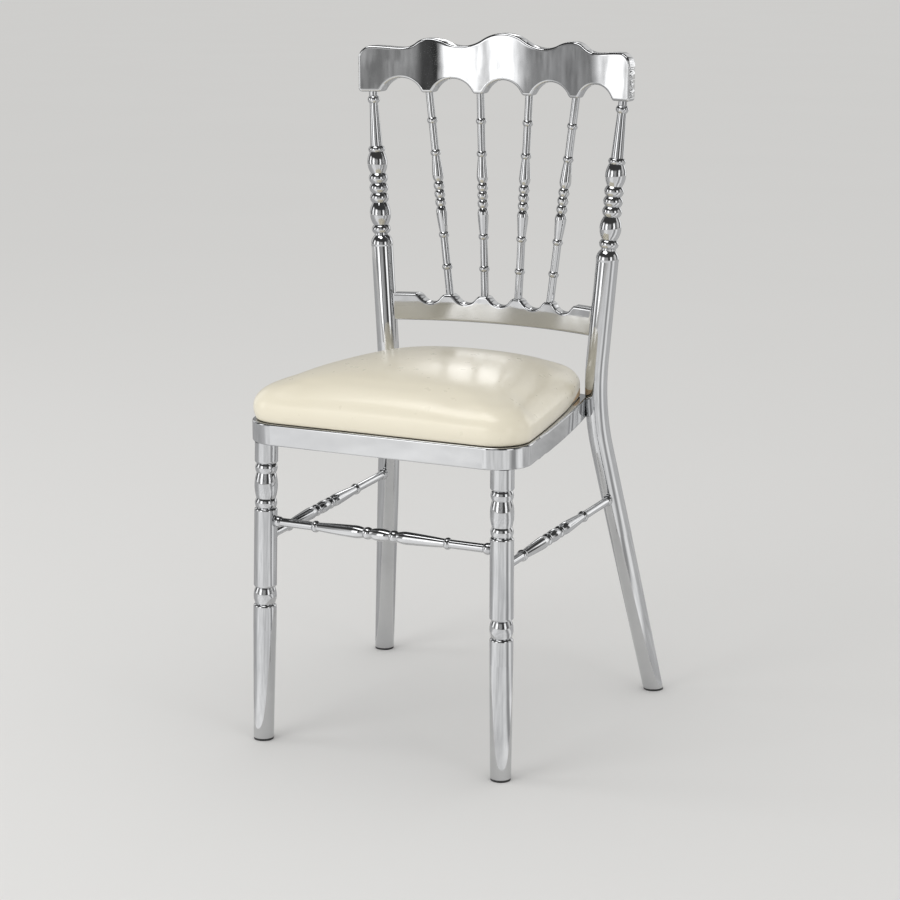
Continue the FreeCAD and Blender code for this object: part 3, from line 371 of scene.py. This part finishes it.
def sampled(x, y, sheet, spots):
    # straight-line mix of the four cells round each spot
    column = np.clip((spots[..., 0] - x[0]) / (x[1] - x[0]), 0, x.size - 1.001)
    row = np.clip((spots[..., 1] - y[0]) / (y[1] - y[0]), 0, y.size - 1.001)
    i, j = column.astype(int), row.astype(int)
    a, b = column - i, row - j
    low = sheet[i, j] * (1 - a) + sheet[i + 1, j] * a
    high = sheet[i, j + 1] * (1 - a) + sheet[i + 1, j + 1] * a
    return low * (1 - b) + high * b


def padForm(name, inset, lower, upper, sideRows=10, crownRows=44):
    # underside: the outline shrunk, level; sides: the outline drawn in under the widest line by the tuck;
    # crown: the outline shrunk ring by ring to the middle, lifted by a quarter round near the edge and
    # further in by the crown sheet
    outline = seatOutline(inset)
    centre = np.array([0.0, (outline[:, 1].min() + outline[:, 1].max()) / 2])
    x, y, sheet = crownHeight(outline)
    shoulder = lower + (upper - lower) * seat["widest"]
    part = np.linspace(0.0, 1.0, sideRows, endpoint=False)
    sides = 1.0 - seat["tuck"] * (1.0 - part) ** 2
    bend = np.linspace(0.0, math.pi / 2, crownRows, endpoint=False)
    over = np.cos(bend) ** seat["crownSpacing"]
    share = np.concatenate([np.array(seat["underShares"]) * sides[0], sides, over])
    underRows = len(seat["underShares"])
    edgeRow = underRows + sideRows
    rings = centre + (outline - centre)[None, :, :] * share[:, None, None]
    along = np.roll(outline, -1, axis=0) - np.roll(outline, 1, axis=0)
    outward = np.stack([along[:, 1], -along[:, 0]], axis=1) / np.hypot(*along.T)[:, None]
    inward = (1.0 - share)[:, None] * ((outline - centre) * outward).sum(axis=1)
    roll = np.sqrt(1.0 - (1.0 - np.clip(inward / seat["rollReach"], 0.0, 1.0)) ** 2)
    crown = np.clip(sampled(x, y, sheet, rings), 0.0, 1.0) ** seat["crownFullness"]
    rise = roll * seat["rollShare"] + crown * (1.0 - seat["rollShare"])
    heights = shoulder + (upper - shoulder) * rise
    heights[:underRows] = lower
    heights[underRows:edgeRow] = (lower + (shoulder - lower) * part)[:, None]
    heights[edgeRow] = shoulder
    grid = np.concatenate([rings, heights[:, :, None]], axis=2)
    rows, columns = grid.shape[:2]
    points = np.concatenate([grid.reshape(-1, 3), [[0.0, centre[1], lower], [0.0, centre[1], upper]]])
    index = np.arange(rows * columns).reshape(rows, columns)
    nextColumn = np.roll(index, -1, axis=1)
    quads = np.stack([index[:-1], nextColumn[:-1], nextColumn[1:], index[1:]], axis=2).reshape(-1, 4)
    under = np.stack([nextColumn[0], index[0], np.full(columns, rows * columns)], axis=1)
    top = np.stack([index[-1], nextColumn[-1], np.full(columns, rows * columns + 1)], axis=1)
    mesh = bpy.data.meshes.new(name)
    mesh.from_pydata(points.tolist(), [], quads.tolist() + under.tolist() + top.tolist())
    mesh.update()
    piece = bpy.data.objects.new(name, mesh)
    bpy.context.scene.collection.objects.link(piece)
    return piece


def applied(piece):
    # the piece with its modifiers worked into a new mesh
    graph = bpy.context.evaluated_depsgraph_get()
    mesh = bpy.data.meshes.new_from_object(piece.evaluated_get(graph))
    piece.modifiers.clear()
    old = piece.data
    piece.data = mesh
    bpy.data.meshes.remove(old)
    return piece


def smoothShade(piece):
    mesh = piece.data
    mesh.polygons.foreach_set("use_smooth", np.ones(len(mesh.polygons), dtype=bool))
    mesh.update()


def vertexArray(mesh):
    spots = np.empty(len(mesh.vertices) * 3)
    mesh.vertices.foreach_get("co", spots)
    return spots.reshape(-1, 3)


# The vinyl pad is blown up a little by cloth pressure, held flat where it lies on the ring

padCover = {
    "startInset": 0.0006,
    "startDrop": 0.001,
    "voxel": 0.005,
    "pressure": 2.0,
    "frames": 20,
    "quality": 5,
    "mostMove": 0.003,
    "heldHeight": 0.012,
    "softFirst": 8,
    "softLast": 12,
    "softFactor": 0.5,
    "spread": 0.007,
    "farLimit": 60.0,
    "batches": 60,
}


def pickPoints(piece, name, chosen):
    # the piece's one vertex group, with the chosen points in it
    piece.vertex_groups.clear()
    group = piece.vertex_groups.new(name=name)
    group.add(np.flatnonzero(chosen).tolist(), 1.0, "REPLACE")


def soften(piece, rounds):
    # only the points above the held edge, so that the lower edge stays crisp
    height = vertexArray(piece.data)[:, 2] - seat["padLow"]
    pickPoints(piece, "crown", height > padCover["heldHeight"])
    even = piece.modifiers.new("evenOut", "SMOOTH")
    even.factor = padCover["softFactor"]
    even.iterations = rounds
    even.vertex_group = "crown"
    return applied(piece)


def nearMoves(spots, known, moves):
    # mean of the known moves, weighted by a bell curve of their distance from each spot; past a limit
    # every weight is next to nothing
    gap = (spots ** 2).sum(axis=1)[:, None] + (known ** 2).sum(axis=1) - 2 * spots @ known.T
    weight = np.exp(-np.minimum(gap / (2 * padCover["spread"] ** 2), padCover["farLimit"]))
    return weight @ moves / weight.sum(axis=1, keepdims=True)


def blownMoves(piece):
    # an evenly meshed copy is blown up by pressure, each point's move capped, then softened
    blown = bpy.data.objects.new("blownPad", piece.data.copy())
    bpy.context.scene.collection.objects.link(blown)
    remesh = blown.modifiers.new("evenMesh", "REMESH")
    remesh.mode = "VOXEL"
    remesh.voxel_size = padCover["voxel"]
    first = vertexArray(applied(blown).data)
    start = vertexArray(soften(blown, padCover["softFirst"]).data)
    pickPoints(blown, "held", start[:, 2] < seat["padLow"] + padCover["heldHeight"])
    cloth = blown.modifiers.new("padCloth", "CLOTH")
    cloth.settings.use_pressure = True
    cloth.settings.uniform_pressure_force = padCover["pressure"]
    cloth.settings.effector_weights.gravity = 0.0
    cloth.settings.vertex_group_mass = "held"
    cloth.settings.quality = padCover["quality"]
    scene = bpy.context.scene
    for step in range(1, padCover["frames"] + 1):
        scene.frame_set(step)
    move = vertexArray(applied(blown).data) - start
    scene.frame_set(1)
    length = np.linalg.norm(move, axis=1, keepdims=True)
    capped = start + move * np.minimum(1.0, padCover["mostMove"] / np.maximum(length, 1e-9))
    blown.data.vertices.foreach_set("co", capped.ravel())
    blown.data.update()
    last = vertexArray(soften(blown, padCover["softLast"]).data)
    print("pad moved by cloth: most", length.max().round(4), "mean", length.mean().round(4))
    bpy.data.objects.remove(blown)
    return first, last - first


def inflate(piece):
    # the clean grid takes up the moves of the blown copy, then is divided once
    known, moves = blownMoves(piece)
    grid = vertexArray(piece.data)
    batches = np.array_split(grid, padCover["batches"])
    carried = np.concatenate([nearMoves(spots, known, moves) for spots in batches])
    piece.data.vertices.foreach_set("co", (grid + carried).ravel())
    piece.data.update()
    divide = piece.modifiers.new("divide", "SUBSURF")
    divide.levels = 1
    divide.render_levels = 1
    return applied(piece)


cover = padForm("vinyl_seat_pad", padCover["startInset"], seat["padLow"],
                seat["padLow"] + seat["padHeight"] - padCover["startDrop"])
inflate(cover)
smoothShade(cover)
dress(cover, finishes["ivory_vinyl"])
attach(cover, "seat_pad")
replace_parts(cover, "seat_cover")
coverSpots = vertexArray(cover.data)
print("vinyl pad blown up:", len(cover.data.polygons), "faces, from",
      coverSpots.min(axis=0).round(4), "to", coverSpots.max(axis=0).round(4))

# Foam inside the pad, a little under the vinyl all over

foamBlock = {"inset": 0.022, "low": 0.0125, "drop": 0.014, "sideRows": 6, "crownRows": 24}
filling = padForm("foam_filling", foamBlock["inset"], seat["padLow"] + foamBlock["low"],
                  seat["padLow"] + seat["padHeight"] - foamBlock["drop"],
                  foamBlock["sideRows"], foamBlock["crownRows"])
smoothShade(filling)
dress(filling, finishes["foam"])
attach(filling, "seat_pad")
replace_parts(filling, "seat_foam")
print("foam filling made:", len(filling.data.polygons), "faces")


# Scalloped rails: bowed plates with softly rounded edges, cut to the same outlines as the solids

crest = {
    "low": 0.8188, "half": 0.1984, "thickness": 0.020, "edge": 0.0032,
    "postX": 0.1836, "postY": 0.1313, "bow": 0.032,
    "top": ((0.0, 0.0812), (0.0616, 0.0630), (0.1057, 0.0730), (0.1410, 0.0602), (0.1814, 0.0622)),
    "shoulder": 0.017, "corner": 0.0045,
    "arches": ((0.0, 0.0291), (0.0431, 0.1013), (0.1153, 0.1701)), "archRise": 0.0192, "soft": 0.0016,
}
lowerRail = {
    "low": 0.508, "high": 0.545, "half": 0.1492, "thickness": 0.019, "edge": 0.0030,
    "postX": 0.16125, "postY": 0.12190, "bow": 0.034,
    "notches": ((0.0, 0.0176), (0.0326, 0.0678), (0.0828, 0.1154)), "notchDrop": 0.012, "soft": 0.0032,
}


def ogeeLine(x, stops):
    # between two stops the line is two equal arcs, level at both ends and meeting half way
    line = np.full(x.shape, stops[-1][1])
    for (x0, z0), (x1, z1) in zip(stops[:-1], stops[1:]):
        run, drop = x1 - x0, z1 - z0
        radius = (run ** 2 + drop ** 2) / (4 * abs(drop))
        sign = math.copysign(1.0, drop)
        first = z0 + sign * (radius - np.sqrt(np.maximum(radius ** 2 - (x - x0) ** 2, 0.0)))
        last = z1 - sign * (radius - np.sqrt(np.maximum(radius ** 2 - (x - x1) ** 2, 0.0)))
        line = np.where((x >= x0) & (x < (x0 + x1) / 2), first, line)
        line = np.where((x >= (x0 + x1) / 2) & (x < x1), last, line)
    return line


def archLine(x, spans, rise):
    # circular arches over each span, flat between them; the first span is half of the middle arch
    line = np.zeros(x.shape)
    for low, high in spans:
        middle = 0.0 if low == 0.0 else (low + high) / 2
        half = high - middle
        radius = (half ** 2 + rise ** 2) / (2 * rise)
        arch = rise - radius + np.sqrt(np.maximum(radius ** 2 - (x - middle) ** 2, 0.0))
        line = np.where(np.abs(x - middle) < half, np.maximum(arch, 0.0), line)
    return line


def cornerDrop(x, half, radius):
    # how far a rounded end corner falls away from the straight edge
    into = np.clip(x - (half - radius), 0.0, radius)
    return radius - np.sqrt(radius ** 2 - into ** 2)


def softLine(x, line, reach):
    # running mean over a short reach, which takes the sharpness off the tooth corners
    shifts = np.linspace(-reach, reach, 9)
    return np.mean([np.interp(x + shift, x, line) for shift in shifts], axis=0)


def railColumns(half, endReach=0.0028, count=440):
    # even columns along the rail, closer together at both ends
    tip = np.array([0.0, 0.00008, 0.0003, 0.0006, 0.0010, 0.0015, 0.0021])
    even = np.linspace(-half + endReach, half - endReach, count)
    return np.concatenate([-half + tip, even, half - tip[::-1]])


def railPiece(name, rail, x, bottom, top, rows=41, endCount=60):
    # front and back sheets: each spot is set back from the plate's middle by half the thickness, less a
    # quarter round within the edge radius of the outline; a strip round the outline joins the sheets
    share = (1 - np.cos(np.linspace(0.0, math.pi, rows))) / 2
    z = bottom[:, None] + (top - bottom)[:, None] * share
    spanX = np.repeat(x[:, None], share.size, axis=1)
    left, right = (np.stack([np.full(endCount, x[end]), np.linspace(bottom[end], top[end], endCount)], axis=1)
                   for end in (0, -1))
    ring = np.concatenate([np.stack([x, bottom], axis=1), right, np.stack([x, top], axis=1), left])
    away = np.empty(z.shape)
    for column in range(x.size):
        near = ring[np.abs(ring[:, 0] - x[column]) < 2 * rail["edge"]]
        across = near[:, 0] - x[column]
        away[column] = np.hypot(across, near[:, 1] - z[column][:, None]).min(axis=1)
    into = rail["edge"] - np.minimum(away, rail["edge"])
    depth = rail["thickness"] / 2 - rail["edge"] + np.sqrt(rail["edge"] ** 2 - into ** 2)
    radius = (rail["postX"] ** 2 + rail["bow"] ** 2) / (2 * rail["bow"])
    centre = rail["postY"] + rail["bow"] - radius
    sheets = [np.stack([spanX, centre + np.sqrt((radius + sign * depth) ** 2 - spanX ** 2), z], axis=2)
              for sign in (-1, 1)]
    count = x.size * share.size
    index = np.arange(count).reshape(x.size, share.size)
    front = np.stack([index[:-1, :-1], index[1:, :-1], index[1:, 1:], index[:-1, 1:]], axis=2).reshape(-1, 4)
    back = front[:, ::-1] + count
    rim = np.concatenate([index[:, 0], index[-1, 1:], index[-2::-1, -1], index[0, -2:0:-1]])
    following = np.roll(rim, -1)
    strip = np.stack([following, rim, rim + count, following + count], axis=1)
    mesh = bpy.data.meshes.new(name)
    mesh.from_pydata(np.concatenate([sheet.reshape(-1, 3) for sheet in sheets]).tolist(), [],
                     np.concatenate([front, back, strip]).tolist())
    mesh.update()
    piece = bpy.data.objects.new(name, mesh)
    bpy.context.scene.collection.objects.link(piece)
    smoothShade(piece)
    dress(piece, finishes["chrome"])
    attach(piece, "frame")
    return piece


crestX = railColumns(crest["half"])
crestTop = crest["low"] + ogeeLine(np.abs(crestX), crest["top"])
crestTop -= cornerDrop(np.abs(crestX), crest["half"], crest["shoulder"])
crestBottom = archLine(np.abs(crestX), crest["arches"], crest["archRise"])
crestBottom = crest["low"] + softLine(crestX, crestBottom, crest["soft"])
crestBottom += cornerDrop(np.abs(crestX), crest["half"], crest["corner"])
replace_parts(railPiece("scalloped_crest", crest, crestX, crestBottom, crestTop), "crest_rail")

railX = railColumns(lowerRail["half"])
railNotch = archLine(np.abs(railX), lowerRail["notches"], lowerRail["notchDrop"])
railTop = lowerRail["high"] - softLine(railX, railNotch, lowerRail["soft"])
railBottom = np.full(railX.shape, lowerRail["low"])
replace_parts(railPiece("scalloped_back_rail", lowerRail, railX, railBottom, railTop), "lower_back_rail")
print("scalloped rails made")


# Studio: a wide pale floor under a soft even sky, tall light panels, and glowing cards, no lamps, that paint
# the chrome's reflections

studio = {
    "floor": (0.765, 0.76, 0.75),
    "floorRadius": 40.0,
    "floorDrop": 0.0002,
    "patchScale": 1.2,
    "patchLift": 1.02,
    "sky": 0.80,
    "skyTint": (1.0, 0.998, 0.99),
    "paintedDarkGlow": 0.07,
    # glow of the painted dark reflection that the cards fade to above
    "aimHeight": 0.4,
}

# soft lamps: bearing in degrees from the front, to the right; sizes in metres; glow is the brightness
lightPanels = {
    "keyPanel": {"bearing": -24.0, "away": 3.4, "middle": 1.5, "width": 1.8, "height": 2.0, "glow": 2.45},
    "leftPanel": {"bearing": -72.0, "away": 3.4, "middle": 1.5, "width": 1.2, "height": 2.0, "glow": 1.8},
    "rightPanel": {"bearing": 64.0, "away": 3.4, "middle": 1.5, "width": 0.9, "height": 2.0, "glow": 1.25},
}

# glowing cards that only reflections see, painted reflections of light and shade: bearings and heights that
# each spans, and its tones by bearing
paintedReflectionCards = {
    "frontCard": {
        "from": -100.0, "to": 100.0, "low": 0.10, "high": 3.0, "away": 3.9,
        "fade": (1.9, 2.5), "patch": (0.45, 1.35),
        "tones": ((-100, 0.45), (-84, 0.10), (-74, 0.12), (-69, 1.9), (-58, 1.9), (-53, 0.35),
                  (-34, 0.42), (-27, 2.1), (-10, 2.2), (-8, 0.06), (-4, 0.07), (-1, 0.52), (26, 0.50),
                  (34, 0.08), (52, 0.08), (56, 1.7), (70, 1.7), (75, 0.10), (100, 0.45)),
    },
    "rearLowCard": {
        "from": -172.0, "to": -120.0, "low": 0.2, "high": 1.8, "away": 3.9,
        "fade": (2.4, 2.8), "patch": (0.8, 1.2),
        "tones": ((-172, 0.5), (-160, 0.34), (-130, 0.28), (-120, 0.5)),
    },
    # its bright band paints the highlight on the top of the pad
    "rearLeftCard": {
        "from": -172.0, "to": -120.0, "low": 1.8, "high": 3.0, "away": 3.9,
        "fade": (2.4, 2.8), "patch": (0.9, 1.1),
        "tones": ((-172, 0.6), (-164, 0.7), (-161, 3.2), (-154, 3.2), (-151, 0.7), (-146, 0.3),
                  (-130, 0.3), (-120, 0.6)),
    },
    "rearRightCard": {
        "from": 120.0, "to": 172.0, "low": 0.2, "high": 3.0, "away": 3.9,
        "fade": (2.0, 2.6), "patch": (0.45, 1.35),
        "tones": ((120, 0.7), (130, 0.12), (142, 0.12), (146, 1.5), (160, 1.5), (172, 0.75)),
    },
}


def gridPiece(name, grid, closed=False):
    # a sheet of four-sided faces over a grid of points, joined round its second direction if closed
    rows, columns = grid.shape[:2]
    index = np.arange(rows * columns).reshape(rows, columns)
    beside = np.roll(index, -1, axis=1) if closed else index[:, 1:]
    here = index if closed else index[:, :-1]
    quads = np.stack([here[:-1], beside[:-1], beside[1:], here[1:]], axis=2).reshape(-1, 4)
    mesh = bpy.data.meshes.new(name)
    mesh.from_pydata(grid.reshape(-1, 3).tolist(), [], quads.tolist())
    mesh.update()
    piece = bpy.data.objects.new(name, mesh)
    bpy.context.scene.collection.objects.link(piece)
    return piece


def floorDisc():
    # rings of points that widen outwards, one flat sheet just under the glides
    radius = np.concatenate([[0.0], np.geomspace(0.3, studio["floorRadius"], 24)])[::-1, None]
    bearing = np.linspace(0.0, 2 * math.pi, 96, endpoint=False)
    x = radius * np.cos(bearing)
    y = radius * np.sin(bearing)
    grid = np.stack([x, y, np.full_like(x, -studio["floorDrop"])], axis=2)
    piece = gridPiece("studio_floor", grid, True)
    finish, tree, shader, place = newFinish("studioFloor")
    cloud = noise(tree, place, studio["patchScale"], 2.0)
    pale = tuple(tone * studio["patchLift"] for tone in studio["floor"])
    tree.links.new(blendColours(tree, cloud, studio["floor"], pale), shader.inputs["Base Color"])
    shader.inputs["Roughness"].default_value = 1.0
    shader.inputs["Specular IOR Level"].default_value = 0.0
    dress(piece, finish)


# level glowing sheets that only reflections see: painted reflections of light and shade streaks on the floor,
# and a painted dark reflection overhead
paintedReflectionSheets = {
    "painted_floor_streak_reflections": {
        "inner": 0.33, "outer": 3.85, "height": 0.0008,
        "tones": ((-180, 0.45), (-140, 0.45), (-100, 0.50), (-64, 0.55), (-50, 0.70), (-42, 1.06),
                  (-8, 1.06), (-1, 0.86), (40, 0.82), (48, 0.94), (57, 0.94), (67, 0.40), (77, 0.40),
                  (88, 1.05), (98, 1.05), (108, 0.60), (150, 0.62), (180, 0.45)),
    },
    "painted_dark_overhead_reflection": {"inner": 0.02, "outer": 3.9, "height": 3.0, "tones": ((-180, 0.06), (180, 0.06))},
}
sheetPatch = (0.85, 1.15)
paintedHighlightCard = {
    "bearing": -30.0, "away": 0.9, "height": 2.8, "width": 1.7, "depth": 1.0,
    "glow": 3.2, "patch": (0.9, 1.1),
}


def paintGlow(finish, tree, shader, strength):
    # black paint that only glows
    tree.links.new(strength, shader.inputs["Emission Strength"])
    shader.inputs["Emission Color"].default_value = (1.0, 1.0, 1.0, 1.0)
    shader.inputs["Base Color"].default_value = (0.0, 0.0, 0.0, 1.0)
    shader.inputs["Specular IOR Level"].default_value = 0.0
    return finish


def mirrorsOnly(piece):
    piece.visible_camera = False
    piece.visible_diffuse = False
    piece.visible_shadow = False
    piece.visible_transmission = False


def paintedReflectionSheet(name):
    # a level ring round the chair, its glow painted by bearing: a painted reflection that only mirrors see
    sheet = paintedReflectionSheets[name]
    bearing = np.linspace(-180.0, 180.0, 721)[None, :]
    radius = np.linspace(sheet["inner"], sheet["outer"], 24)[:, None]
    x = radius * np.sin(np.radians(bearing))
    y = -radius * np.cos(np.radians(bearing))
    piece = gridPiece(name, np.stack([x, y, np.full_like(x, sheet["height"])], axis=2))
    stops, tones = np.array(sheet["tones"]).T
    paintedCard(piece, np.interp(bearing, stops, tones) + 0.0 * radius, *sheetPatch)


def paintedCard(piece, glow, dimmest, brightest):
    # the glow is kept at each point, and made patchy between two limits
    layer = piece.data.attributes.new("glow", "FLOAT", "POINT")
    layer.data.foreach_set("value", glow.ravel())
    finish, tree, shader, place = newFinish(piece.name + "_paint")
    painted = tree.nodes.new("ShaderNodeAttribute")
    painted.attribute_name = "glow"
    patches = remap(tree, noise(tree, place, 4.5, 4.0, 0.65), dimmest, brightest, 0.35, 0.65)
    strength = tree.nodes.new("ShaderNodeMath")
    strength.operation = "MULTIPLY"
    tree.links.new(painted.outputs["Fac"], strength.inputs[0])
    tree.links.new(patches, strength.inputs[1])
    dress(piece, paintGlow(finish, tree, shader, strength.outputs[0]))
    mirrorsOnly(piece)


def overheadPaintedHighlight():
    # a level glowing sheet above the front, no lamp, that only reflections see: a painted highlight on the
    # rolled edges of the pad and on the beads
    turn = math.radians(paintedHighlightCard["bearing"])
    across = np.linspace(-0.5, 0.5, 12)[None, :] * paintedHighlightCard["width"]
    ahead = np.linspace(-0.5, 0.5, 12)[:, None] * paintedHighlightCard["depth"] + paintedHighlightCard["away"]
    x = ahead * math.sin(turn) + across * math.cos(turn)
    y = across * math.sin(turn) - ahead * math.cos(turn)
    piece = gridPiece("overhead_painted_highlight", np.stack([x, y, np.full_like(x, paintedHighlightCard["height"])], axis=2))
    finish, tree, shader, place = newFinish("overheadHighlightPaint")
    dimmest, brightest = (limit * paintedHighlightCard["glow"] for limit in paintedHighlightCard["patch"])
    patches = remap(tree, noise(tree, place, 2.0, 2.0), dimmest, brightest)
    dress(piece, paintGlow(finish, tree, shader, patches))
    mirrorsOnly(piece)


def paintedReflectionCard(name):
    # part of an upright drum round the chair, its glow painted point by point from the tones, patchy and
    # fading to a painted dark glow above; only mirror reflections see it, so it is a painted reflection
    card = paintedReflectionCards[name]
    bearing = np.linspace(card["from"], card["to"], 401)[None, :]
    height = np.linspace(card["low"], card["high"], 30)[:, None]
    x = card["away"] * np.sin(np.radians(bearing)) + 0.0 * height
    y = -card["away"] * np.cos(np.radians(bearing)) + 0.0 * height
    piece = gridPiece(name, np.stack([x, y, height + 0.0 * bearing], axis=2))
    stops, tones = np.array(card["tones"]).T
    glow = np.interp(bearing, stops, tones) + 0.0 * height
    fade = np.clip((height - card["fade"][0]) / (card["fade"][1] - card["fade"][0]), 0.0, 1.0)
    glow = glow * (1 - fade) + studio["paintedDarkGlow"] * fade
    paintedCard(piece, glow, *card["patch"])


def lightPanel(name):
    panel = lightPanels[name]
    data = bpy.data.lights.new(name, "AREA")
    data.shape = "RECTANGLE"
    data.size = panel["width"]
    data.size_y = panel["height"]
    data.energy = panel["glow"] * math.pi * panel["width"] * panel["height"]
    lamp = bpy.data.objects.new(name, data)
    turn = math.radians(panel["bearing"])
    spot = Vector((panel["away"] * math.sin(turn), -panel["away"] * math.cos(turn), panel["middle"]))
    aim = Vector((0.0, 0.0, studio["aimHeight"])) - spot
    lamp.visible_glossy = False
    lamp.matrix_world = Matrix.Translation(spot) @ aim.to_track_quat("-Z", "Y").to_matrix().to_4x4()
    bpy.context.scene.collection.objects.link(lamp)


def studioSky():
    world = bpy.data.worlds.new("studioSky")
    bpy.context.scene.world = world
    world.use_nodes = True
    light = next(node for node in world.node_tree.nodes if node.type == "BACKGROUND")
    light.inputs["Color"].default_value = (*studio["skyTint"], 1.0)
    light.inputs["Strength"].default_value = studio["sky"]


floorDisc()
studioSky()
for panelName in lightPanels:
    lightPanel(panelName)
for cardName in paintedReflectionCards:
    paintedReflectionCard(cardName)
overheadPaintedHighlight()
for sheetName in paintedReflectionSheets:
    paintedReflectionSheet(sheetName)
print("studio floor, light panels and cards set")

# Camera at the photograph's angle

cameraView = {
    "spot": (1.36205, -2.75986, 1.06963),
    "azimuth": 26.3,
    "elevation": 12.94,
    "lens": 95.30,
    "sensor": 36.0,
}


def setCamera():
    data = bpy.data.cameras.new("chairCamera")
    data.lens = cameraView["lens"]
    data.sensor_width = cameraView["sensor"]
    data.sensor_height = cameraView["sensor"]
    data.sensor_fit = "HORIZONTAL"
    data.clip_end = 200.0
    camera = bpy.data.objects.new("chairCamera", data)
    turn = math.radians(cameraView["azimuth"])
    tilt = math.radians(cameraView["elevation"])
    back = Vector((math.sin(turn) * math.cos(tilt), -math.cos(turn) * math.cos(tilt), math.sin(tilt)))
    facing = back.to_track_quat("Z", "Y").to_matrix().to_4x4()
    camera.matrix_world = Matrix.Translation(Vector(cameraView["spot"])) @ facing
    bpy.context.scene.collection.objects.link(camera)
    bpy.context.scene.camera = camera


setCamera()
bpy.context.scene.view_settings.view_transform = "Standard"
print("camera set")
